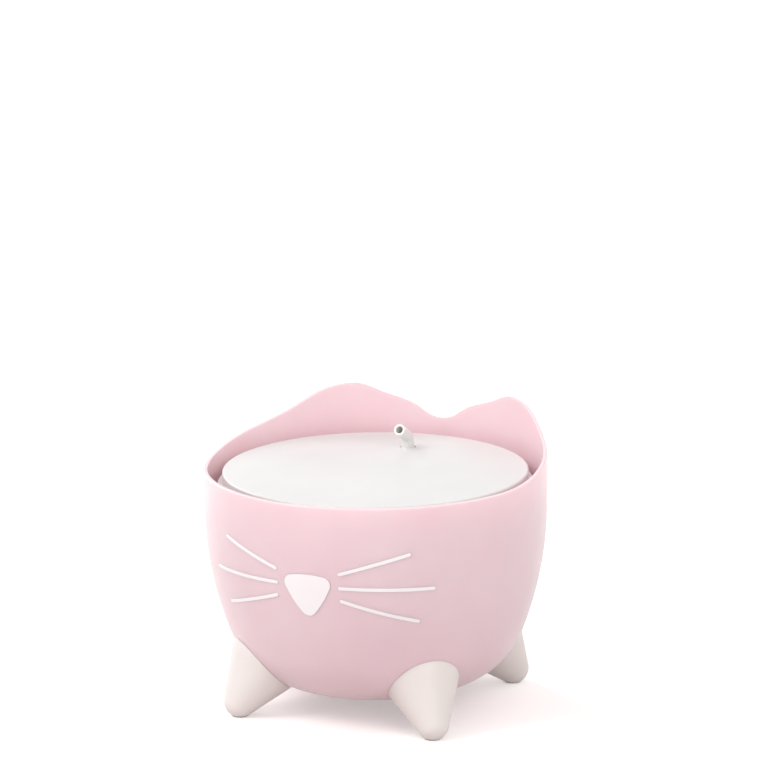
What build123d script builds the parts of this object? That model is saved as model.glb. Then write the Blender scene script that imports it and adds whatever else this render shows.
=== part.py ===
from build123d import *
import math
import os

os.makedirs("parts", exist_ok=True)

# Pet water fountain: a round bowl on four feet, a pump on the bowl's floor, a tray with a filter over
# the water, and a drinking lid with a bent spout. Millimetres, +Z up. The origin is on the ground, on
# the bowl's axis; the nose looks towards -Y, the ears stand at +Y.

# ---------------------------------------------------------------- driving dimensions
# bowl
bowl_radius = 110.5  # outside of the rim
bowl_wall = 2.5
bowl_floor_z = 15.0  # underside of the bowl above the ground
side_radius = 235.0  # slow curve of the wall, in section
base_radius = 52.0  # round corner between wall and floor, in section
widest_z = 134.0  # height where the wall turns upright
rim_z = 156.0  # front of the rim
ear_height = 29.7  # ears above the rim
ear_spread = 59.0  # from the middle to an ear's peak, along X
ear_dip = 7.0  # lowest point between the ears, above the rim
ear_start_y = -38.0  # where the rim begins to climb towards the ears
ear_climb = ((28.6, 7.0), (66.5, 17.5))  # y, and height above the rim, on the way up
ear_flat = 14.0  # level part of the rim at the very back
ear_slope = ((17.0, 14.5), (40.0, 23.5))  # x, and height above the rim, from the dip to a peak
rim_round = 0.9  # on both edges of the rim

# inlays in the bowl's front
inlay_depth = 0.9
inlay_proud = 0.35
inlay_gap = 0.08
nose_z = 98.0
nose_width = 35.0
nose_height = 27.5
nose_round = 5.5
nose_brow = 2.5  # rise of its upper side
nose_cheek = 1.8  # swell of its lower sides
whisker_width = 2.3
whisker_angles = ((11.6, 34.5), (11.6, 43.0), (12.0, 38.0))  # inner and outer end, from the front
whisker_heights = ((113.4, 126.0), (104.0, 102.6), (95.3, 81.0))  # above the ground, likewise

# feet
foot_angle = 45.0
foot_knee_inset = 36.5  # middle of the big round end, inside the bowl's side
foot_knee_z = 38.0
foot_knee_r = 25.0
foot_toe_inset = 15.5  # middle of the small round end
foot_toe_z = 9.5
foot_toe_r = 10.5
foot_gap = 0.1  # between a foot and the bowl
pad_r = 5.0
pad_thick = 2.0
pad_proud = 0.8

# cord duct at the back of the bowl, and the ribs that carry the tray
duct_width = 22.0
duct_depth = 26.5  # of the duct's front wall, from the bowl's side
duct_top_z = 145.5
duct_slot_width = 9.0
duct_slot_low_z = 38.0
duct_slot_high_z = 68.0
rib_count = 6
rib_width = 3.0
rib_reach = 10.5  # from the bowl's outside inwards
rib_length = 46.0

# filter tray
tray_clearance = 6.2  # between the tray and the bowl's wall
tray_wall = 2.2
tray_top_z = 146.0
tray_rim_height = 6.5
dish_inset = 23.8  # of the dish's edge, from the tray's
dish_low_radius = 40.8  # at the bottom, inside the well's outline
dish_depth = 5.0
dish_rim = 4.8  # flat rim in front of the dish
well_y = -46.0
well_size = 89.5
well_corner = 14.0
well_depth = 23.0
well_wall = 2.0
well_draft = 3.0
slot_count = 7
slot_pitch = 9.5
slot_width = 4.2
slot_length = 60.0
filter_seat_height = 8.5  # of the ledges above the well's floor
ledge_width = 2.4
ledge_reach = 3.5
ledge_pitch = 46.0
niche_r = 9.0
niche_depth = 17.0
vent_r = 10.0
vent_x = 60.0
vent_y = 39.0
outlet_y = 53.0  # axis of dome, riser tube, pump outlet and spout
dome_base_r = 18.5
dome_top_r = 13.6
dome_height = 7.0
dome_round = 1.5
dome_roof = 4.6
dome_wall = 5.5  # at the base, behind the recess in its front
groove_width = 5.5
groove_depth = 2.8
recess_width = 22.0
recess_depth = 3.3
recess_height = 3.6
socket_r = 8.5
socket_low_z = 110.5
cord_slot_width = 7.0
cord_slot_reach = 8.0  # in front of the duct
duct_clearance = 0.6

# ring handle
ring_x = 27.5
ring_outer_r = 12.0
ring_band = 2.8
ring_depth = 4.5
ring_arm = 14.2  # from the hinge's axis to the ring's centre
ring_lift = 3.0  # hinge axis above the tray
ring_barrel_r = 2.0
ring_barrel = 5.6
ring_pin_r = 0.9
ring_round = 0.9
pin_gap = 0.03
lug_gap = 0.3
lug_thick = 2.0

# lid
lid_inset = 3.3  # of the lid's edge, from the tray's
lid_skirt = 8.0
lid_skirt_wall = 2.0
lid_plate = 2.2
lid_crown = 3.0
lid_edge_round = 1.2
lid_front_edge = 3.4  # depth of the edge where the skirt is cut away
lid_cut_angle = 52.0
lid_hole_r = 5.2

# spout
collar_r = 4.5
collar_stop = 0.6  # its lower end, above the tray
collar_length = 10.0
spout_edge = 0.4  # rounding of the collar's and the spout's ends
collar_stub_r = 3.2
collar_stub = 5.0
spout_r = 3.9
spout_bore_r = 2.4
spout_rise = 2.0
spout_bend_r = 7.0
spout_bend = 60.0
spout_reach = 12.0
turn_gap = 0.08  # radial play of pieces that turn in each other
plug_gap = 0.1  # radial play of push fits

# riser tube
tube_r = 6.0
tube_wall = 1.7
tube_length = 41.0
tube_overlap = 6.5  # tube inside the tray's socket

# filter cartridge
filter_gap = 3.25  # between the cartridge and the well on each side
filter_corner = 12.0
film_thick = 0.8
pod_depth = 7.5
pod_rim = 3.25  # film outside the pods
pod_corner = 7.0
pod_gap = 5.5
pod_wall = 0.6
pod_draft = 6.0
pod_collar = 2.0  # film round the middle hole
fill_gap = 0.05
fleece_thick = 0.8
fleece_inset = 2.0
filter_hole_r = 8.5

# pump
pump_turn = 47.0  # long side, from +X
pump_z = 34.0
pump_length = 45.0
pump_width = 34.0
pump_height = 31.0
pump_tail = 12.5  # from the outlet's axis to the end near it
pump_round = 2.6
outlet_r = 4.25
outlet_bore_r = 3.0
outlet_length = 18.0
outlet_ring = 2.0  # width and height of the ring at its foot
cover_thick = 5.0
chamber_r = 9.5
chamber_length = 16.0
rotor_axis_z = 17.0  # above the pump's underside
rotor_well_r = 5.0
rotor_well_length = 16.0
rotor_r = 4.6
rotor_length = 15.3
rotor_neck_r = 3.2
shaft_r = 0.8
bush_r = 2.2
bush_length = 2.0
impeller_r = 8.2
impeller_plate = 1.0
impeller_height = 5.6  # back plate and vanes
hub_r = 2.6
vane_count = 6
vane_thick = 1.1
vane_sweep = 3.6
eye_cover_thick = 1.6
eye_cover_in = 5.5  # from the chamber's mouth
eye_r = 6.0
eye_boss_r = 3.2
spoke_width = 1.4
end_play = 0.3
stator_r = 7.9
stator_wall = 1.0  # between rotor well and stator
stator_length = 11.0
coil_length = 5.5
end_cap_thick = 2.0
channel_width = 5.0
channel_z = 25.2  # outlet channel above the stator, from the pump's underside
channel_height = 3.5
intake_z = 18.5
intake_width = 20.0
intake_height = 9.0
intake_depth = 2.0
intake_wall = 1.2
grille_slots = 5
grille_pitch = 3.6
grille_slot = 1.8
grille_height = 4.6
slider_width = 18.6
slider_height = 9.0
slider_thick = 1.4
slider_travel = 1.8
slider_gap = 0.2
tab_width = 2.4
tab_height = 1.4
tab_rise = 3.0  # of the tab above the intake's middle
led_z = 4.6
led_r = 1.8
board_width = 9.0
board_height = 4.2
board_thick = 1.6
seat_height = 13.5  # raised seat in the bowl's floor
seat_margin = 3.0
seat_corner = 5.0
suction_r = 4.5
cup_height = 3.0
cup_stem_r = 1.8
cup_stem = 2.0
cup_lip = 0.9
cup_slope = 38.0
cup_pitch_x = 30.0
cup_pitch_y = 18.0
gland_r = 2.6
gland_tip_r = 1.8
gland_length = 7.0
gland_root_r = 1.8
gland_root = 2.5
gland_x = -24.0
gland_z = 22.0

# cord
cord_d = 2.2
coil_turn_r = 11.0
coil_rows = 4
coil_columns = 4.5
coil_x = -60.0
coil_y = 135.0
plug_length = 20.0
plug_width = 15.0
plug_height = 8.0
shell_length = 12.0
shell_width = 12.0
shell_height = 4.5
shell_wall = 0.5
tongue_thick = 1.7

# ---------------------------------------------------------------- worked out from them
foot_knee_reach = bowl_radius - foot_knee_inset
foot_toe_reach = bowl_radius - foot_toe_inset
duct_front_y = bowl_radius - duct_depth
tray_radius = bowl_radius - bowl_wall - tray_clearance
dish_radius = tray_radius - dish_inset
lid_radius = tray_radius - lid_inset
seat_top_z = bowl_floor_z + bowl_wall + seat_height
tray_low_z = tray_top_z - tray_rim_height
well_floor_z = tray_top_z - well_depth + well_wall
filter_z = well_floor_z + filter_seat_height
lid_edge_z = tray_top_z + lid_skirt
dome_top_z = tray_top_z + dome_height
tube_top_z = socket_low_z + tube_overlap
tube_low_z = tube_top_z - tube_length
tube_bore_r = tube_r - tube_wall
collar_low_z = tray_top_z + collar_stop
ring_z = tray_top_z + ring_lift
filter_size = well_size - 2 * filter_gap
pod_size = (filter_size - 2 * pod_rim - pod_gap) / 2
pod_pitch = pod_size + pod_gap
ear_top_z = rim_z + ear_height
outlet_axis = Axis((0, outlet_y, 0), (0, 0, 1))
pump_plane = Plane(
    origin=(0, outlet_y, pump_z),
    x_dir=(math.cos(math.radians(pump_turn)), math.sin(math.radians(pump_turn)), 0),
    z_dir=(0, 0, 1),
)
pump_head_x = pump_tail - pump_length  # end with the intake
housing_x = pump_head_x + cover_thick


def save(piece, name):
    """Label a finished piece and write its STEP file."""
    piece.part.label = name
    export_step(piece.part, f"parts/{name}.step")


def pump_local(plane_offset=0.0):
    """Pump plane, raised above the pump's underside."""
    return pump_plane.offset(plane_offset)


def rotor_plane(x):
    """Plane across the rotor's axis, x along the pump from the outlet's axis, looking to the tail."""
    centre = pump_plane.from_local_coords((x, 0, rotor_axis_z))
    return Plane(origin=centre, x_dir=(0, 0, 1), z_dir=pump_plane.x_dir)


# ---------------------------------------------------------------- bowl
def bowl_section(inset, top):
    """Half section of the bowl's outside, moved inwards by inset and closed at the height top."""
    widest = bowl_radius - inset
    curve = side_radius - inset
    low = bowl_floor_z + inset
    turn = math.asin((widest_z - low) / curve)
    corner_x = widest - curve + curve * math.cos(turn)
    with BuildSketch(Plane.XZ) as section:
        with BuildLine():
            Polyline((corner_x, low), (0, low), (0, top), (widest, top), (widest, widest_z))
            CenterArc((widest - curve, widest_z), curve, -math.degrees(turn), math.degrees(turn))
        make_face()
        corner = section.vertices().sort_by_distance((corner_x, low, 0))[0]
        fillet(corner, base_radius - inset)
    return section


def bowl_reach(z, inset=0.0):
    """Radius of the bowl's wall at the height z, above its round corner."""
    drop = widest_z - min(z, widest_z)
    curve = side_radius - inset
    return bowl_radius - inset - curve + math.sqrt(curve**2 - drop**2)


with BuildPart() as bowl_outside:
    revolve(bowl_section(0, ear_top_z).sketch, axis=Axis.Z)

with BuildPart() as bowl_inside:
    revolve(bowl_section(bowl_wall, ear_top_z + 1).sketch, axis=Axis.Z)

with BuildPart() as foot_room:
    revolve(bowl_section(-foot_gap, ear_top_z).sketch, axis=Axis.Z)

with BuildPart() as duct:
    with BuildSketch(Plane.XY.offset(bowl_floor_z + bowl_wall)):
        with Locations((0, duct_front_y + bowl_wall + bowl_radius / 2)):
            Rectangle(duct_width - 2 * bowl_wall, bowl_radius)
    extrude(amount=rim_z)
    add(bowl_inside.part, mode=Mode.INTERSECT)

with BuildPart() as tray_rib:
    with BuildSketch(Plane.YZ):
        with BuildLine():
            rib_inner = bowl_radius - rib_reach
            Polyline(
                (rib_inner, tray_low_z),
                (bowl_radius, tray_low_z),
                (bowl_radius, tray_low_z - rib_length),
                (rib_inner + rib_width, tray_low_z - rib_length + rib_reach),
                (rib_inner, tray_low_z - rib_length + 2 * rib_reach),
                close=True,
            )
        make_face()
    extrude(amount=rib_width / 2, both=True)


def nose_outline(grow):
    """Rounded triangle of the nose, point down, in the X-Z plane."""
    half = nose_width / 2
    top = nose_z + nose_height / 2
    tip = nose_z - nose_height / 2 - nose_round / 2
    with BuildSketch(Plane.XZ) as outline:
        with BuildLine():
            brow_z = top - nose_brow
            side_x = half / 2 + nose_cheek
            side_z = (top + tip - nose_brow) / 2 - nose_cheek / 2
            ThreePointArc((-half, brow_z), (0, top), (half, brow_z))
            ThreePointArc((half, brow_z), (side_x, side_z), (0, tip))
            ThreePointArc((0, tip), (-side_x, side_z), (-half, brow_z))
        make_face()
        fillet(outline.vertices(), nose_round)
        offset(amount=grow)
    return outline


def whisker_outline(side, grow):
    """The three whiskers of one side, in the X-Z plane."""
    with BuildSketch(Plane.XZ) as outline:
        for angles, heights in zip(whisker_angles, whisker_heights):
            ends = [
                (side * bowl_reach(z) * math.sin(math.radians(angle)), z)
                for angle, z in zip(angles, heights)
            ]
            run = Vector(*ends[1]) - Vector(*ends[0])
            middle = (Vector(*ends[0]) + Vector(*ends[1])) / 2
            with Locations((middle.X, middle.Y)):
                SlotCenterToCenter(
                    run.length,
                    whisker_width + 2 * grow,
                    rotation=math.degrees(math.atan2(run.Y, run.X)),
                )
    return outline


def inlay(outline, grow, outer, inner):
    """What an outline cuts out of the skin between two depths of the bowl's front wall."""
    with BuildPart() as skin:
        revolve(bowl_section(outer, rim_z).sketch, axis=Axis.Z)
        revolve(bowl_section(inner, rim_z + 1).sketch, axis=Axis.Z, mode=Mode.SUBTRACT)
    with BuildPart() as piece:
        extrude(outline(grow).sketch, amount=bowl_radius + 5, dir=(0, -1, 0))
        add(skin.part, mode=Mode.INTERSECT)
    return piece


def left_whiskers(grow):
    return whisker_outline(-1, grow)


def right_whiskers(grow):
    return whisker_outline(1, grow)


def seat_outline(inset):
    """Outline of the pump's seat, in plan."""
    with BuildSketch() as outline:
        with Locations(Location((0, outlet_y), pump_turn)):
            with Locations((pump_tail - pump_length / 2, 0)):
                RectangleRounded(
                    pump_length - 2 * (seat_margin + inset),
                    pump_width - 2 * (seat_margin + inset),
                    seat_corner - inset,
                )
    return outline


inlay_outlines = {
    "nose_inlay": nose_outline,
    "whisker_inlays_left": left_whiskers,
    "whisker_inlays_right": right_whiskers,
}

with BuildPart() as bowl:
    add(bowl_outside.part)
    add(bowl_inside.part, mode=Mode.SUBTRACT)
    # duct for the cord
    with BuildSketch(Plane.XY.offset(bowl_floor_z + bowl_wall / 2)):
        with Locations((0, duct_front_y + bowl_radius / 2)):
            Rectangle(duct_width, bowl_radius)
    extrude(amount=duct_top_z - bowl_floor_z - bowl_wall / 2)
    # ribs that carry the tray; the duct stands where the one at the back would
    for step in range(1, rib_count):
        add(tray_rib.part.rotate(Axis.Z, step * 360 / rib_count))
    add(bowl_outside.part, mode=Mode.INTERSECT)
    # the floor is open below the seat of the pump
    with BuildSketch(Plane.XY.offset(bowl_floor_z)):
        add(seat_outline(bowl_wall).sketch)
    extrude(amount=seat_height, mode=Mode.SUBTRACT)
    add(duct.part, mode=Mode.SUBTRACT)
    # the duct opens through the wall low at the back
    with BuildSketch(Plane.XZ.offset(-duct_front_y - bowl_wall)):
        with Locations((0, (duct_slot_low_z + duct_slot_high_z) / 2)):
            SlotOverall(duct_slot_high_z - duct_slot_low_z, duct_slot_width, rotation=90)
    extrude(amount=-bowl_radius, mode=Mode.SUBTRACT)
    # the rim climbs to the back, seen from the side
    with BuildSketch(Plane.YZ.offset(-bowl_radius - 1)):
        with BuildLine():
            climb = Spline(
                (ear_start_y, rim_z),
                *[(y, rim_z + rise) for y, rise in ear_climb],
                (bowl_reach(rim_z) - ear_flat, ear_top_z),
                tangents=((1, 0), (1, 0)),
            )
            Polyline(
                climb @ 1,
                (bowl_radius + 5, ear_top_z),
                (bowl_radius + 5, ear_top_z + 5),
                (-bowl_radius - 5, ear_top_z + 5),
                (-bowl_radius - 5, rim_z),
                climb @ 0,
            )
        make_face()
    extrude(amount=2 * bowl_radius + 2, mode=Mode.SUBTRACT)
    # the dip between the ears, seen from the front
    with BuildSketch(Plane.XZ):
        with BuildLine():
            dip = Spline(
                (0, rim_z + ear_dip),
                *[(x, rim_z + rise) for x, rise in ear_slope],
                (ear_spread, ear_top_z),
                tangents=((1, 0), (1, 0)),
            )
            Polyline(dip @ 1, (ear_spread, ear_top_z + 5), (0, ear_top_z + 5), dip @ 0)
        make_face()
        mirror(about=Plane.YZ)
    extrude(amount=-bowl_radius - 5, mode=Mode.SUBTRACT)
    # both edges of the rim rounded: those between the rim's own faces aren't edges of the wall
    walls = bowl.faces().filter_by(GeomType.CYLINDER).group_by(Axis.Z)[-1].sort_by(SortBy.AREA)[-2:]
    rim_faces = [face for face in bowl.faces() if face.bounding_box().min.Z > rim_z - 0.5]
    rim_edges = [edge for face in rim_faces for edge in face.edges()]
    wall_edges = [edge for face in walls for edge in face.edges()]
    fillet([edge for edge in rim_edges if edge in wall_edges], rim_round)
    # pockets for the inlays
    for outline in inlay_outlines.values():
        add(inlay(outline, inlay_gap, -1.0, inlay_depth + inlay_gap).part, mode=Mode.SUBTRACT)
save(bowl, "bowl_shell")

# raised seat of the pump, hollow from below like the bowl's own floor
with BuildPart() as seat:
    with BuildSketch(Plane.XY.offset(bowl_floor_z + bowl_wall)):
        add(seat_outline(0).sketch)
    extrude(amount=seat_height)
    add(bowl_inside.part, mode=Mode.INTERSECT)
    with BuildSketch(Plane.XY.offset(bowl_floor_z + bowl_wall)):
        add(seat_outline(bowl_wall).sketch)
    extrude(amount=seat_height - bowl_wall, mode=Mode.SUBTRACT)
save(seat, "pump_seat")

for name, outline in inlay_outlines.items():
    save(inlay(outline, 0.0, -inlay_proud, inlay_depth), name)

# ---------------------------------------------------------------- feet
foot_axis = Vector(foot_toe_reach - foot_knee_reach, 0, foot_toe_z - foot_knee_z)
foot_plane = Plane(origin=(foot_knee_reach, 0, foot_knee_z), x_dir=foot_axis, z_dir=(0, 1, 0))

with BuildPart() as foot:
    with BuildSketch(foot_plane):
        with BuildLine():
            lean = math.asin((foot_knee_r - foot_toe_r) / foot_axis.length)
            knee_end = (foot_knee_r * math.sin(lean), foot_knee_r * math.cos(lean))
            toe_end = (
                foot_axis.length + foot_toe_r * math.sin(lean),
                foot_toe_r * math.cos(lean),
            )
            Polyline((-foot_knee_r, 0), (foot_axis.length + foot_toe_r, 0))
            CenterArc((0, 0), foot_knee_r, 90 - math.degrees(lean), 90 + math.degrees(lean))
            Line(knee_end, toe_end)
            CenterArc((foot_axis.length, 0), foot_toe_r, 0, 90 - math.degrees(lean))
        make_face()
    revolve(axis=Axis(foot_plane.origin, foot_plane.x_dir))
    add(foot_room.part, mode=Mode.SUBTRACT)
    # flat sole, with a pocket for the rubber pad
    with BuildSketch(Plane.XY.offset(pad_proud)):
        with Locations((foot_toe_reach, 0)):
            Rectangle(4 * foot_toe_r, 4 * foot_toe_r)
    extrude(amount=-2 * foot_toe_r, mode=Mode.SUBTRACT)
    with BuildSketch(Plane.XY.offset(pad_proud)):
        with Locations((foot_toe_reach, 0)):
            Circle(pad_r + plug_gap)
    extrude(amount=pad_thick - pad_proud, mode=Mode.SUBTRACT)

foot_names = {
    "foot_front_right": -foot_angle,
    "foot_rear_right": foot_angle,
    "foot_rear_left": 180 - foot_angle,
    "foot_front_left": 180 + foot_angle,
}
for name, angle in foot_names.items():
    with BuildPart() as one_foot:
        add(foot.part.rotate(Axis.Z, angle))
    save(one_foot, name)

with BuildPart() as foot_pads:
    with BuildSketch(Plane.XY):
        with PolarLocations(foot_toe_reach, 4, start_angle=foot_angle):
            Circle(pad_r)
    extrude(amount=pad_thick)
save(foot_pads, "foot_pads")

# ---------------------------------------------------------------- filter tray
with BuildPart() as dish_bounds:
    with BuildSketch(Plane.XY.offset(tray_top_z - dish_depth)):
        Circle(tray_radius - dish_rim)
    extrude(amount=2 * dish_depth)

with BuildPart() as dish:
    with BuildSketch(Plane.XY.offset(tray_top_z - dish_depth)):
        with Locations((0, well_y)):
            Circle(dish_low_radius)
    with BuildSketch(Plane.XY.offset(tray_top_z)):
        with Locations((0, well_y)):
            Circle(dish_radius)
    loft()
    add(dish_bounds.part, mode=Mode.INTERSECT)

with BuildPart() as tray_bounds:
    with BuildSketch(Plane.XY.offset(tray_top_z - well_depth)):
        Circle(tray_radius)
    extrude(amount=2 * well_depth)

with BuildPart() as tray:
    # flange with a turned-down rim
    with BuildSketch(Plane.XY.offset(tray_top_z)):
        Circle(tray_radius)
    extrude(amount=-tray_rim_height)
    rim_edge = tray.edges().filter_by(GeomType.CIRCLE).group_by(Axis.Z)[-1]
    fillet(rim_edge, 0.8)
    with BuildSketch(Plane.XY.offset(tray_low_z)):
        Circle(tray_radius - tray_wall)
    extrude(amount=tray_rim_height - tray_wall, mode=Mode.SUBTRACT)
    # underside of the dish
    add(dish.part.moved(Location((0, 0, -tray_wall))))
    # well and its finger niche, from outside
    with BuildSketch(Plane.XY.offset(tray_top_z - tray_wall)):
        with Locations((0, well_y)):
            RectangleRounded(well_size, well_size, well_corner)
    extrude(amount=-(well_depth - tray_wall), taper=well_draft)
    with BuildSketch(Plane.XY.offset(tray_top_z - tray_wall)):
        with Locations((0, well_y + well_size / 2 - well_wall)):
            Circle(niche_r + well_wall)
    extrude(amount=-niche_depth)
    # dome, hollow from below, and the socket in its middle
    with BuildSketch(Plane.XZ.offset(-outlet_y)):
        with BuildLine():
            Polyline(
                (dome_top_r - dome_round, dome_top_z),
                (0, dome_top_z),
                (0, tray_top_z - tray_wall),
                (dome_base_r, tray_top_z - tray_wall),
                (dome_base_r, tray_top_z),
                (dome_top_r + dome_round / 2, dome_top_z - dome_round),
            )
            ThreePointArc(
                (dome_top_r + dome_round / 2, dome_top_z - dome_round),
                (dome_top_r - 0.15 * dome_round, dome_top_z - 0.35 * dome_round),
                (dome_top_r - dome_round, dome_top_z),
            )
        make_face()
    revolve(axis=outlet_axis)
    with BuildSketch(Plane.XY.offset(tray_top_z - tray_wall)):
        with Locations((0, outlet_y)):
            Circle(dome_base_r - dome_wall)
    extrude(amount=tray_wall + dome_height - dome_roof, mode=Mode.SUBTRACT)
    with BuildSketch(Plane.XY.offset(socket_low_z)):
        with Locations((0, outlet_y)):
            Circle(socket_r)
    extrude(amount=dome_top_z - dome_roof / 2 - socket_low_z)
    # what the dish, the well and its niche are hollowed by
    add(dish.part, mode=Mode.SUBTRACT)
    with BuildSketch(Plane.XY.offset(tray_top_z)):
        with Locations((0, well_y)):
            RectangleRounded(
                well_size - 2 * well_wall, well_size - 2 * well_wall, well_corner - well_wall
            )
    extrude(amount=-(well_depth - well_wall), taper=well_draft, mode=Mode.SUBTRACT)
    with BuildSketch(Plane.XY.offset(tray_top_z)):
        with Locations((0, well_y + well_size / 2 - well_wall)):
            Circle(niche_r)
    extrude(amount=-(tray_wall + niche_depth - well_wall), mode=Mode.SUBTRACT)
    # ledges that carry the filter, and the slots of the well's floor
    with BuildSketch(Plane.XY.offset(well_floor_z)):
        with Locations((0, well_y)):
            with PolarLocations(well_size / 2 - well_wall - ledge_reach / 2, 4):
                with GridLocations(0, ledge_pitch, 1, 2):
                    Rectangle(ledge_reach, ledge_width)
    extrude(amount=filter_seat_height)
    with BuildSketch(Plane.XY.offset(well_floor_z)):
        with Locations((0, well_y)):
            with GridLocations(0, slot_pitch, 1, slot_count):
                SlotOverall(slot_length, slot_width)
    extrude(amount=-well_wall, mode=Mode.SUBTRACT)
    # vents, and the notch round the duct and the cord
    with BuildSketch(Plane.XY.offset(tray_low_z)):
        with Locations((vent_x, vent_y), (-vent_x, vent_y)):
            Circle(vent_r)
        with Locations((0, duct_front_y - duct_clearance + bowl_radius / 2)):
            Rectangle(duct_width + 2 * duct_clearance, bowl_radius)
        with Locations((0, duct_front_y)):
            SlotOverall(2 * cord_slot_reach, cord_slot_width, rotation=90)
    extrude(amount=tray_rim_height, mode=Mode.SUBTRACT)
    # bores of the socket, the groove and the recess in the dome's front
    with BuildSketch(Plane.XY.offset(socket_low_z)):
        with Locations((0, outlet_y)):
            Circle(tube_r + plug_gap)
    extrude(amount=tube_overlap + end_play, mode=Mode.SUBTRACT)
    with BuildSketch(Plane.XY.offset(socket_low_z)):
        with Locations((0, outlet_y)):
            Circle(tube_bore_r)
    extrude(amount=collar_low_z - socket_low_z, mode=Mode.SUBTRACT)
    with BuildSketch(Plane.XY.offset(collar_low_z - end_play)):
        with Locations((0, outlet_y)):
            Circle(collar_r + plug_gap)
    extrude(amount=dome_height, mode=Mode.SUBTRACT)
    with BuildSketch(Plane.XY.offset(dome_top_z)):
        with Locations((0, outlet_y - dome_base_r / 2)):
            Rectangle(groove_width, dome_base_r)
    extrude(amount=-groove_depth, mode=Mode.SUBTRACT)
    with BuildSketch(Plane.XY.offset(tray_top_z + 0.4)):
        with Locations((0, outlet_y - dome_base_r)):
            Rectangle(recess_width, 2 * recess_depth)
    extrude(amount=recess_height, mode=Mode.SUBTRACT)
    # lugs of the ring handle
    for side in (-1, 1):
        lug_x = ring_x + side * (ring_barrel / 2 + lug_gap)
        with BuildSketch(Plane.YZ.offset(lug_x)):
            with Locations((outlet_y, ring_z)):
                Circle(ring_barrel_r)
            with Locations((outlet_y, (ring_z + tray_top_z) / 2 - tray_wall / 4)):
                Rectangle(2 * ring_barrel_r, ring_lift + tray_wall / 2)
            with Locations((outlet_y, ring_z)):
                Circle(ring_pin_r + pin_gap, mode=Mode.SUBTRACT)
        extrude(amount=side * lug_thick)

# the tray's moulding in three nodes: its plate, the well below the dish, the dome with the socket
with BuildPart() as well_space:
    with BuildSketch(Plane.XY.offset(tray_top_z - dish_depth - tray_wall)):
        with Locations((0, well_y)):
            Rectangle(2 * well_size, 2 * well_size)
    extrude(amount=-well_depth)

with BuildPart() as dome_space:
    with BuildSketch(Plane.XY.offset(socket_low_z)):
        with Locations((0, outlet_y)):
            Circle(dome_base_r)
    extrude(amount=dome_top_z - socket_low_z)

with BuildPart() as filter_well:
    add(tray.part)
    add(well_space.part, mode=Mode.INTERSECT)
    add(dome_space.part, mode=Mode.SUBTRACT)
save(filter_well, "filter_well")

with BuildPart() as outlet_dome:
    add(tray.part)
    add(dome_space.part, mode=Mode.INTERSECT)
save(outlet_dome, "outlet_dome")

with BuildPart() as tray_plate:
    add(tray.part)
    add(well_space.part, mode=Mode.SUBTRACT)
    add(dome_space.part, mode=Mode.SUBTRACT)
save(tray_plate, "filter_tray")

with BuildPart() as ring_pin:
    pin_length = ring_barrel + 2 * lug_gap + 2 * lug_thick
    with BuildSketch(Plane.YZ.offset(ring_x - pin_length / 2)):
        with Locations((outlet_y, ring_z)):
            Circle(ring_pin_r)
    extrude(amount=pin_length)
save(ring_pin, "ring_hinge_pin")

# the ring lies back on the tray; it folds up on its pin
with BuildPart() as ring:
    with BuildSketch(Plane.XY.offset(ring_z - ring_depth / 2)):
        with Locations((ring_x, outlet_y + ring_arm)):
            Circle(ring_outer_r)
            Circle(ring_outer_r - ring_band, mode=Mode.SUBTRACT)
    extrude(amount=ring_depth)
    fillet(ring.edges().filter_by(GeomType.CIRCLE), ring_round)
    with BuildSketch(Plane.YZ.offset(ring_x - ring_barrel / 2)):
        with Locations((outlet_y, ring_z)):
            Circle(ring_barrel_r)
        with Locations((outlet_y + ring_arm / 2 - ring_outer_r / 2 + ring_band / 4, ring_z)):
            Rectangle(ring_arm - ring_outer_r + ring_band / 2, 2 * ring_barrel_r)
    extrude(amount=ring_barrel)
    with BuildSketch(Plane.YZ.offset(ring_x - ring_barrel)):
        with Locations((outlet_y, ring_z)):
            Circle(ring_pin_r + turn_gap)
    extrude(amount=2 * ring_barrel, mode=Mode.SUBTRACT)
save(ring, "ring_handle")

# ---------------------------------------------------------------- filter cartridge
def pod_space(shrink, top):
    """Four tapered pods round the middle hole, drawn in by shrink and hanging from top."""
    with BuildPart() as space:
        with BuildSketch(Plane.XY.offset(top)):
            with Locations((0, well_y)):
                with GridLocations(pod_pitch, pod_pitch, 2, 2):
                    side = pod_size - 2 * shrink
                    RectangleRounded(side, side, pod_corner - shrink)
                Circle(filter_hole_r + pod_collar + shrink, mode=Mode.SUBTRACT)
        extrude(amount=filter_z - pod_depth + shrink - top, taper=pod_draft)
    return space.part


pod_inside = pod_space(pod_wall, filter_z + film_thick)

with BuildPart() as film:
    with BuildSketch(Plane.XY.offset(filter_z)):
        with Locations((0, well_y)):
            RectangleRounded(filter_size, filter_size, filter_corner)
            Circle(filter_hole_r, mode=Mode.SUBTRACT)
    extrude(amount=film_thick)
    add(pod_inside, mode=Mode.SUBTRACT)
save(film, "filter_casing")

with BuildPart() as pods:
    add(pod_space(0, filter_z))
    add(pod_inside, mode=Mode.SUBTRACT)
save(pods, "filter_pods")


def pod_fill(side):
    """Granules of the two pods on one side."""
    with BuildPart() as fill:
        with BuildSketch(Plane.XY.offset(filter_z + film_thick)):
            with Locations((side * pod_pitch / 2, well_y)):
                with GridLocations(0, pod_pitch, 1, 2):
                    inner = pod_size - 2 * (pod_wall + fill_gap)
                    RectangleRounded(inner, inner, pod_corner - pod_wall - fill_gap)
            with Locations((0, well_y)):
                Circle(filter_hole_r + pod_collar + pod_wall + fill_gap, mode=Mode.SUBTRACT)
        extrude(amount=-(pod_depth - pod_wall - fill_gap + film_thick), taper=pod_draft)
    return fill


save(pod_fill(-1), "filter_carbon")
save(pod_fill(1), "filter_resin")

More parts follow.
